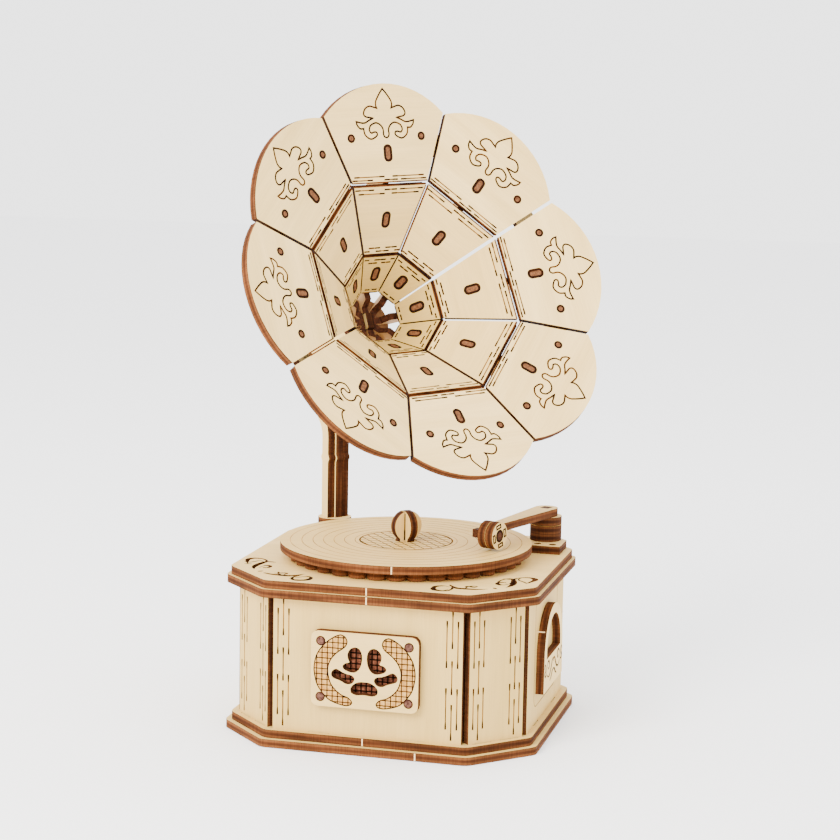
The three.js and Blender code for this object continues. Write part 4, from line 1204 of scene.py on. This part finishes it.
@dataclass
class ToneArmDressing:
    """The swinging arm and its soundbox, with the ring and four bars cut into the box's face."""

    shop: Workshop
    pivot: tuple[float, float] = (45.6, 35.4)
    heading: float = 253.4
    reach: float = 44.7
    skew: float = 4.0
    box_height: float = 72.3
    front: float = 4.8
    bar: tuple[float, float] = (2.7, 1.15)
    bar_reach: float = 3.5
    bar_turn: float = 12.0
    ring_radius: float = 1.9
    ring_line: float = 0.9
    ring_sides: int = 28
    line: float = 0.62
    char: Engraving = Engraving("soundbox", dark="#1c0d05", light="#40220f", darkness=0.9, run=3.0)
    dowel: PlainWood = PlainWood("charred_birch_dowel", "#4c2912", "#2a1307", 0.6)

    def box_face(self) -> Lie:
        """How the front face of the soundbox lies.

        Returns:
            The lie, with x across the face and y up.
        """
        middle = np.append(self.pivot, self.box_height) + self.reach * heading(self.heading)
        x = heading(self.heading - self.skew)
        out = -np.cross(x, UP)
        return Lie(middle + self.front * out, -x, np.array(UP), out)

    def build(self) -> None:
        """Dresses the arm's pieces and engraves the soundbox."""
        for sheet in (
            ("tone_arm", heading(self.heading), 0.5, 0.3), ("swivel_disc", EAST, 0.4, 0.5),
            ("soundbox_front", UP, 0.6, 0.45), ("soundbox_back", UP, 0.6, 0.45),
        ):
            self.shop.dress_sheet(*sheet)
        for node in ("pivot_post", "stylus_peg"):
            self.shop.dress(node, [self.shop.finish(self.dowel)])
        half = np.array([(-1, -1), (1, -1), (1, 1), (-1, 1)]) * np.array(self.bar) / 2
        angles = np.radians(self.bar_turn + 90 * np.arange(4))
        radial = np.stack([np.cos(angles), np.sin(angles)], axis=1)[:, None, :]
        across = np.stack([-np.sin(angles), np.cos(angles)], axis=1)[:, None, :]
        bars = radial * (self.bar_reach + half[None, :, 1:]) + across * half[None, :, :1]
        face, cuts = self.box_face(), Surface()
        cuts.draw(face, bars, self.line, closed=True)
        cuts.draw(face, ring(self.ring_radius, self.ring_sides), self.ring_line, closed=True)
        cuts.piece("soundbox_engraving", self.shop.finish(self.char), Body.ARM)


@dataclass
class DeckFurniture:
    """The pieces on the deck: the arm's mount and pedestal, the column's foot and the neck.

    Each row of sheets gives a node, its grain, its warmth and how dark its edges are.
    """

    shop: Workshop
    sheets: Sheets = (
        ("arm_mount_plate", EAST, 0.4, 0.5), ("pedestal_disc_1", EAST, 0.4, 0.6),
        ("pedestal_disc_2", EAST, 0.4, 0.55), ("column_foot_1", EAST, 0.4, 0.35),
        ("column_foot_2", EAST, 0.4, 0.35), ("neck_core", UP, 0.35, 0.85),
        ("neck_right", UP, 0.35, 0.85), ("neck_left", UP, 0.35, 0.85),
    )

    def build(self) -> None:
        """Dresses each sheet, with the neck's grain upright."""
        for sheet in self.sheets:
            self.shop.dress_sheet(*sheet)


# ---------------------------------------------------------------- horn


class Band(Enum):
    """The three rings of panels along the horn: where each starts, its tilt and its length.

    Each value is the apothem and the place along the axis at the panel's inner edge, the tilt in
    degrees from the plane of the mouth, and the length up the slope.
    """

    THROAT = (9.5, -39.672, 55.5, 17.15)
    BELL = (19.214, -25.539, 40.6, 27.65)
    PETAL = (40.208, -7.545, 17.35, 25.3)

    def __init__(self, apothem: float, place: float, tilt: float, length: float) -> None:
        """Names the four numbers, and keeps the tilt in radians."""
        self.apothem, self.place, self.length = apothem, place, length
        self.tilt = math.radians(tilt)

    def rise(self, height: float) -> float:
        """A height up the slope, counted back from the outer edge where it is negative."""
        return height if height > 0 else self.length + height


@dataclass
class HornDressing:
    """The horn: its panels and ribs, the flower on each petal, the broken lines along the joints.

    A height up a panel's slope that is negative is counted back from its outer edge. The dashes are
    shares of a panel's width.
    """

    shop: Workshop
    origin: Size = (8.178, -5.246, 164.18)
    heading: tuple[float, float] = (0.7372, -0.6757)
    elevation: float = 25.24
    roll: float = 2.47
    sides: int = 8
    panels: tuple[tuple[str, Band, float], ...] = (
        ("petal", Band.PETAL, 0.0), ("bell_panel", Band.BELL, 0.3),
    )
    panel_spread: tuple[float, float, float] = (0.2, 0.1, 0.25)
    axis_cosine: float = 0.97
    throat_tolerance: float = 0.02
    # painted shade: warmth 0.9 darkens the throat's veneer for the shade deep in the horn; the
    # second number is how dark its edges are
    throat_shade_and_char: tuple[float, float] = (0.9, 0.7)
    # painted shade: how far the rib faces' darker veneer goes towards its warm end
    rib_shade_warmth: float = 0.5
    hub_place: tuple[float, float] = (-49.6, -46.4)
    seam: float = 1.2
    peg_places: Spots = ((-15.3, 17.1), (15.3, 17.1))
    peg_profile: Spots = ((0.95, -0.4), (0.95, 0.05), (0.83, 0.1))
    peg_ring: tuple[float, float] = (1.22, 0.8)
    peg_proud: float = 0.08
    slot: Size = (1.4, 2.75, 1.3)
    slot_char: float = 0.95
    slot_proud: float = 0.06
    slot_rises: tuple[tuple[Band, float], ...] = (
        (Band.PETAL, 11.3), (Band.BELL, 13.825), (Band.THROAT, 8.575),
    )
    rib_end: Size = (1.05, 2.3, 0.9)
    rib_end_proud: float = 0.02
    rim_char: tuple[float, float] = (0.45, 0.8)
    rim_rises: tuple[tuple[Band, float], ...] = (
        (Band.PETAL, 0.7), (Band.BELL, -0.7), (Band.BELL, 0.5),
        (Band.THROAT, -0.5), (Band.THROAT, 0.1),
    )
    fold: tuple[float, float] = (0.1, 1.5)
    fold_width: float = 0.4
    fold_proud: float = 0.08
    dash_width: float = 0.43
    dash_margin: float = 0.2
    tip: tuple[float, float] = (0.6, 2.3)
    tip_share: float = 0.45
    tip_proud: float = 0.05
    near: Spots = ((0.0, 0.27), (0.42, 0.6), (0.64, 0.98))
    far: Spots = ((0.04, 0.43), (0.53, 0.94))
    inner_near: Spots = ((0.0, 0.15), (0.32, 0.7), (0.86, 1.0))
    inner_far: Spots = ((0.13, 0.44), (0.58, 0.9))
    dash_rows: tuple[tuple[Band, float, Spots], ...] = (
        (Band.PETAL, 1.6, near), (Band.PETAL, 2.8, far),
        (Band.BELL, -2.1, near), (Band.BELL, -3.6, far),
        (Band.BELL, 1.6, inner_near), (Band.BELL, 2.9, inner_far), (Band.THROAT, -2.1, inner_near),
        (Band.THROAT, -3.5, inner_far), (Band.THROAT, 1.4, inner_far),
    )
    narrow_seams: tuple[tuple[Band, int, int, float], ...] = (
        (Band.PETAL, 5, 1, 16.0), (Band.PETAL, 6, -1, 16.0),
        (Band.BELL, 0, 1, 26.4), (Band.BELL, 1, -1, 26.4),
    )
    seam_start: float = 1.0
    seam_overlap: float = 0.1
    seam_char: tuple[float, float] = (0.5, 1.0)
    flower_width: float = 0.64
    flower: tuple[Spots, ...] = (
        ((0, 34.85), (1.4, 33.2), (2.55, 31.6), (3.35, 30.2), (3.5, 28.8), (3.1, 27.75)),
        ((3.1, 27.75), (4.5, 28.2), (6.2, 28.6), (7.7, 28.1), (8.7, 27.0), (9.05, 25.7),
         (8.3, 24.8), (6.8, 24.5), (5.1, 24.2)),
        ((5.1, 24.2), (6.9, 23.5), (8.7, 22.6), (10.3, 22.6), (12.5, 23.1)),
        ((12.5, 23.1), (12.2, 21.8), (11.0, 20.5), (9.6, 20.5)),
        ((9.6, 20.5), (9.5, 19.4), (9.15, 18.2), (8.0, 17.1), (6.6, 16.6), (5.1, 17.1),
         (3.95, 18.0), (4.15, 19.0), (5.3, 19.1), (6.35, 18.8), (7.1, 19.5), (7.1, 20.5),
         (6.3, 21.7), (4.3, 22.45), (2.8, 22.05), (1.65, 21.0), (1.15, 19.7), (1.2, 18.2),
         (0.8, 17.3), (0, 16.9)),
    )
    flower_line: Engraving = Engraving(
        "flower", dark="#1d0e04", light="#4a2a0c", darkness=0.75, run=7.0
    )
    dashes: Engraving = Engraving("dashes", dark="#331a07", light="#7d5220", darkness=0.55, run=6.0)
    tips: Engraving = Engraving("dash_tips", dark="#1a0a03", light="#3c1d07", darkness=0.8, run=3.0)
    rims: Engraving = Engraving("rims", dark="#2a1206", light="#5a2f14", darkness=0.6, run=8.0)
    # painted shade: a darker birch for the rib faces, which lie in shade inside the horn
    rib_shade_veneer: BirchVeneer = BirchVeneer(pale="#c9a066", warm="#a87c46")
    rib_edge: PlainWood = PlainWood("burnt_rib_edge", "#4a2511", "#2c1307", 1.2)
    # painted shade: the hub's dark grey-brown stands in for the shade deep in the horn's throat
    hub: PlainWood = PlainWood("painted_shade_hub", "#75512f", "#573821", 2.0)
    dowel_end: PlainWood = PlainWood("charred_dowel_end", "#744a2d", "#4f2f1a", 0.7)

    def axes(self) -> tuple[np.ndarray, np.ndarray, np.ndarray]:
        """The horn's own directions, turned by its roll about the axis.

        Returns:
            The right, up and mouthward directions.
        """
        slope = math.radians(self.elevation)
        east, north = self.heading
        axis = np.array([east * math.cos(slope), north * math.cos(slope), math.sin(slope)])
        right = np.array([-north, east, 0.0])
        return *rolled(right, np.cross(axis, right), self.roll), axis

    def radial(self, turn: float) -> np.ndarray:
        """The direction out from the axis to a panel's middle or a corner.

        Args:
            turn: eighths of a turn, clockwise from the top as seen from the mouth.

        Returns:
            The unit direction.
        """
        right, up, _ = self.axes()
        angle = math.pi / 2 - 2 * math.pi / self.sides * turn
        return math.cos(angle) * right + math.sin(angle) * up

    def facet(self, band: Band, turn: int) -> Lie:
        """How a panel's front face lies.

        Args:
            band: the panel's ring.
            turn: its number round the ring, from 0 at the top.

        Returns:
            The lie from the middle of its inner edge, with x along the edge and y up the slope.
        """
        axis, radial = self.axes()[2], self.radial(turn)
        up_slope = math.cos(band.tilt) * radial + math.sin(band.tilt) * axis
        out = math.cos(band.tilt) * axis - math.sin(band.tilt) * radial
        middle = np.array(self.origin) + band.apothem * radial + band.place * axis
        return Lie(middle, np.cross(up_slope, out), up_slope, out)

    def half_at(self, band: Band, rise: float) -> float:
        """Half a panel's width at a height up its slope, less its share of the seam."""
        spread = math.tan(math.pi / self.sides)
        return (band.apothem + rise * math.cos(band.tilt)) * spread - self.seam * 0.5

    def dress_panels(self) -> None:
        """Veneers the petals and bell panels, the grain along the joint, each in its own tone."""
        warm_spread, least_char, char_spread = self.panel_spread
        for turn in range(self.sides):
            for kind, band, warmth in self.panels:
                lie, node = self.facet(band, turn), f"{kind}_{turn + 1}"
                chance = self.shop.chance(node)
                char = least_char + char_spread * chance
                warm = warmth + warm_spread * chance
                self.shop.dress_sheet(node, lie.grain, warm, char, lie.cross)

    def dress_throat_and_ribs(self) -> None:
        """Veneers the folded throat and the crossed ribs, whose faces lie at many angles.

        A polygon of the throat is veneer where its normal meets the axis at the panels' tilt. A
        polygon of the ribs is veneer where its normal runs round the axis, or along the axis on the
        hub. The throat's veneer is set near its warm end, and the rib faces and the hub take darker
        browns: all three are painted shade deep inside the horn.
        """
        right, up, axis = self.axes()
        lie = Lie.of(self.origin, axis, right)
        meeting = np.abs(polygons("throat_ring", "normal") @ axis)
        edges = np.abs(meeting - math.cos(Band.THROAT.tilt)) > self.throat_tolerance
        warmth, char = self.throat_shade_and_char
        self.shop.dress("throat_ring", [
            self.shop.veneer.material("throat_ring", lie, warmth),
            self.shop.edge.material("throat_ring", lie, char),
        ], edges)
        normals = polygons("rib_spider", "normal")
        offset = polygons("rib_spider", "center") / MM - np.array(self.origin)
        place = offset @ axis
        angle = np.arctan2(offset @ up, offset @ right)
        eighth = np.round(angle / (np.pi / 4)) * np.pi / 4
        round_axis = np.cos(eighth)[:, None] * up - np.sin(eighth)[:, None] * right
        on_rib = np.abs((normals * round_axis).sum(axis=1)) > self.axis_cosine
        hub_start, hub_end = self.hub_place
        within = (place < hub_end) & (place > hub_start)
        on_hub = (np.abs(normals @ axis) > self.axis_cosine) & within
        self.shop.dress("rib_spider", [
            self.rib_shade_veneer.material("rib_spider", lie, self.rib_shade_warmth),
            self.shop.finish(self.rib_edge),
            self.shop.finish(self.hub),
        ], np.where(on_rib, 0, np.where(on_hub, 2, 1)))

    def draw_flowers(self) -> None:
        """Draws the flower of three leaves on each petal: its right half and that one mirrored."""
        half = np.concatenate([spline(part, steps=4)[:-1] for part in self.flower])
        outline = np.concatenate([half, (half[1:] * (-1, 1))[::-1]])
        flowers = Surface()
        for turn in range(self.sides):
            flowers.draw(self.facet(Band.PETAL, turn), outline, self.flower_width, closed=True)
        flowers.piece("petal_flowers", self.shop.finish(self.flower_line))

    def draw_joints(self) -> None:
        """Draws the broken lines along the joints and the throat's end, and chars the rims.

        Each dash has bold ends. The char bridges the seams that the photograph shows closed.
        """
        thin, bold, rims = Surface(), Surface(), Surface()
        width, reach = self.tip
        char, sunk = self.rim_char
        seam_char, seam_sunk = self.seam_char
        for band, turn, side, end in self.narrow_seams:
            rises = np.array([self.seam_start, end])
            x = side * np.array([self.half_at(band, rise) + self.seam_overlap for rise in rises])
            path = np.stack([x, rises], axis=1)
            rims.draw(self.facet(band, turn), path, seam_char, sunk=seam_sunk)
        for turn in range(self.sides):
            for band, height, shares in self.dash_rows:
                lie, rise = self.facet(band, turn), band.rise(height)
                x = (np.array(shares) * 2 - 1) * (self.half_at(band, rise) - self.dash_margin)
                tip = np.minimum(reach, (x[:, 1] - x[:, 0]) * self.tip_share)
                ends = np.concatenate([
                    np.stack([x[:, 0], x[:, 0] + tip], axis=1),
                    np.stack([x[:, 1] - tip, x[:, 1]], axis=1),
                ])
                row = np.stack([x, np.full_like(x, rise)], axis=2)
                bold_row = np.stack([ends, np.full_like(ends, rise)], axis=2)
                thin.draw(lie, row, self.dash_width)
                bold.draw(lie, bold_row, width, proud=self.tip_proud)
            for band, height in self.rim_rises:
                rise = band.rise(height)
                half = self.half_at(band, rise)
                rims.draw(self.facet(band, turn), ((-half, rise), (half, rise)), char, sunk=sunk)
        rims.piece("burnt_rims", self.shop.finish(self.rims))
        thin.piece("joint_dashes", self.shop.finish(self.dashes))
        bold.piece("joint_dash_ends", self.shop.finish(self.tips))

    def set_pegs_and_ribs(self) -> None:
        """Sets the brown end of each link peg and rib in its burnt ring."""
        ends, rings = Surface(), Surface()
        radius, char = self.peg_ring
        loops = np.stack([ring(radius, SMALL_RING) + centre for centre in self.peg_places])
        slot, rib_end = rounded_box(*self.slot), rounded_box(*self.rib_end)
        for turn in range(self.sides):
            lie = self.facet(Band.PETAL, turn)
            ends.studs(lie, self.peg_places, self.peg_profile)
            rings.draw(lie, loops, char, proud=self.peg_proud, closed=True)
            for band, rise in self.slot_rises:
                lie = self.facet(band, turn)
                burn = slot + (0, rise)
                rings.draw(lie, burn, self.slot_char, proud=self.slot_proud, closed=True)
                ends.plate(lie, rib_end + (0, rise), self.rib_end_proud)
        ends.piece("peg_and_rib_ends", self.shop.finish(self.dowel_end), slot=Slot.DOWEL)
        rings.piece("burnt_rings", self.shop.finish(DEEP_CHAR))

    def draw_folds(self) -> None:
        """Draws the burnt line in each fold of the throat, from its inner edge to its slit.

        A fold runs at the corner between two panels, so its distance from the axis is the panels'
        own over the cosine of half the turn between them.
        """
        folds, band, axis = Surface(), Band.THROAT, self.axes()[2]
        rises = np.array(self.fold)
        reach = band.apothem + rises * math.cos(band.tilt)
        place = band.place + rises * math.sin(band.tilt)
        for turn in range(self.sides):
            between = self.radial(turn + 0.5)
            corner = between / math.cos(math.pi / self.sides)
            path = np.array(self.origin) + reach[:, None] * corner + place[:, None] * axis
            inward = axis * math.cos(band.tilt) - between * math.sin(band.tilt)
            inward /= np.linalg.norm(inward)
            folds.lines(path, inward, self.fold_width, proud=self.fold_proud)
        folds.piece("throat_folds", self.shop.finish(self.tips))

    def build(self) -> None:
        """Dresses the horn from its panels to its engraving."""
        self.dress_panels()
        self.dress_throat_and_ribs()
        self.draw_flowers()
        self.draw_joints()
        self.set_pegs_and_ribs()
        self.draw_folds()


# ---------------------------------------------------------------- movement


@dataclass
class MovementDressing:
    """The wind-up movement: zinc bed, steel comb and spindle, brass drum, cylinder and fan."""

    shop: Workshop
    zinc: WorkedMetal = WorkedMetal("die_cast_zinc", "#a7a9ad", "#85878c", 0.55, (0.6, 0.6, 0.6))
    steel: WorkedMetal = WorkedMetal(
        "ground_spring_steel", "#bfc2c6", "#9b9ea3", 0.32, (0.15, 6.0, 0.15)
    )
    brass: WorkedMetal = WorkedMetal("turned_brass", "#cfa44c", "#a97f34", 0.3, (0.2, 0.2, 4.0))

    def build(self) -> None:
        """Gives each piece of the movement its metal."""
        for node, metal in (
            ("movement_bedplate", self.zinc), ("tone_comb", self.steel),
            ("drive_spindle", self.steel), ("spring_drum", self.brass),
            ("pinned_cylinder", self.brass), ("governor_fan", self.brass),
        ):
            self.shop.dress(node, [self.shop.finish(metal)])


# ---------------------------------------------------------------- studio


@dataclass
class Studio:
    """The pale floor, the soft lamps and the camera at the photograph's angle.

    Each lamp has a name, a place, a size, a power in watts and a tint.
    """

    place: Size = (200.8, -767.4, 227.9)
    ahead: Size = (-0.24523, 0.95855, -0.14508)
    roll: float = 1.023
    focal: float = 2181.6
    picture_width: float = 840.0
    sensor: float = 36.0
    clip: tuple[float, float] = (0.01, 50.0)
    floor_half: float = 3000.0
    floor_tooth: float = 0.8
    floor_tones: tuple = ((0.3, "#f6f6f7"), (0.7, "#fbfbfc"))
    floor_roughness: float = 0.9
    glow: float = 3.1
    lamps_look_at: Size = (0.0, 0.0, 110.0)
    lamps: tuple[tuple[str, Size, float, float, str], ...] = (
        ("key", (-400, -950, 780), 600, 30.0, "#fffaf2"),
        ("fill", (900, -700, 500), 900, 2.0, "#ffffff"),
        ("top", (0, 200, 1100), 900, 4.0, "#ffffff"),
    )

    def stand(
        self, name: str, data: bpy.types.ID, axes: Sequence[np.ndarray], place: Vector
    ) -> bpy.types.Object:
        """Puts a camera or lamp in the scene.

        Args:
            name: its name.
            data: the camera or lamp.
            axes: its right, up and backward directions.
            place: where it stands, in millimetres.

        Returns:
            The new object.
        """
        basis = np.eye(4)
        basis[:3, :3] = np.stack(axes, axis=1)
        basis[:3, 3] = np.array(place) * MM
        made = bpy.data.objects.new(name, data)
        made.matrix_world = Matrix(basis.tolist())
        bpy.context.scene.collection.objects.link(made)
        return made

    def set_camera(self) -> None:
        """Sets the camera: right is ahead crossed with up, then both are turned by the roll."""
        ahead = np.array(self.ahead) / np.linalg.norm(self.ahead)
        right = np.cross(ahead, UP)
        right /= np.linalg.norm(right)
        lens = bpy.data.cameras.new("camera")
        lens.sensor_width = self.sensor
        lens.lens = self.focal / self.picture_width * self.sensor
        lens.clip_start, lens.clip_end = self.clip
        axes = (*rolled(right, np.cross(right, ahead), self.roll), -ahead)
        bpy.context.scene.camera = self.stand("camera", lens, axes, self.place)

    def lay_floor(self) -> None:
        """Lays the plain floor of white paper, whose fine tooth hardly shows."""
        half = self.floor_half * MM
        mesh = bpy.data.meshes.new("floor")
        corners = [(-half, -half, 0), (half, -half, 0), (half, half, 0), (-half, half, 0)]
        mesh.from_pydata(corners, [], [(0, 1, 2, 3)])
        paper = new_material("white_paper")
        tooth = uneven(paper, LEVEL, (self.floor_tooth,) * 3)
        colour = add_node(paper, "ValToRGB", {0: tooth, "stops": self.floor_tones})
        mesh.materials.append(surfaced(paper, colour, {"Roughness": self.floor_roughness}))
        made = bpy.data.objects.new("floor", mesh)
        bpy.context.scene.collection.objects.link(made)

    def hang_lamp(self, name: str, place: Vector, size: float, power: float, tint: str) -> None:
        """Hangs a square soft lamp that points at the middle of the object.

        Args:
            name: its name.
            place: where it hangs, in millimetres.
            size: its side in millimetres.
            power: its power in watts.
            tint: its colour as "#rrggbb".
        """
        light = bpy.data.lights.new(name, "AREA")
        light.size, light.energy, light.color = size * MM, power, linear(tint)[:3]
        back = np.array(place, float) - self.lamps_look_at
        back /= np.linalg.norm(back)
        across = np.cross(UP, back)
        across /= np.linalg.norm(across)
        self.stand(name, light, (across, np.cross(back, across), back), place)

    def build(self) -> None:
        """Sets up the floor, the light all round, three lamps and the camera."""
        self.lay_floor()
        world = bpy.data.worlds.new("studio")
        world.use_nodes = True
        world.node_tree.nodes.clear()
        background = add_node(world, "Background", {"Color": "#ffffff", "Strength": self.glow})
        add_node(world, "OutputWorld", {"Surface": background})
        bpy.context.scene.world = world
        for lamp in self.lamps:
            self.hang_lamp(*lamp)
        self.set_camera()


def main() -> None:
    """Builds the sub-assemblies in order."""
    logging.basicConfig(level=logging.INFO, format="%(name)s: %(message)s")
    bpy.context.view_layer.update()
    Studio().build()
    shop = Workshop()
    case = CaseDressing(shop)
    for assembly in (
        case,
        GrilleDressing(shop, case),
        ArchDressing(shop, case),
        TurntableDressing(shop),
        ToneArmDressing(shop),
        DeckFurniture(shop),
        HornDressing(shop),
        MovementDressing(shop),
    ):
        assembly.build()
        log.info("%s is done", type(assembly).__name__)


if __name__ == "__main__":
    main()
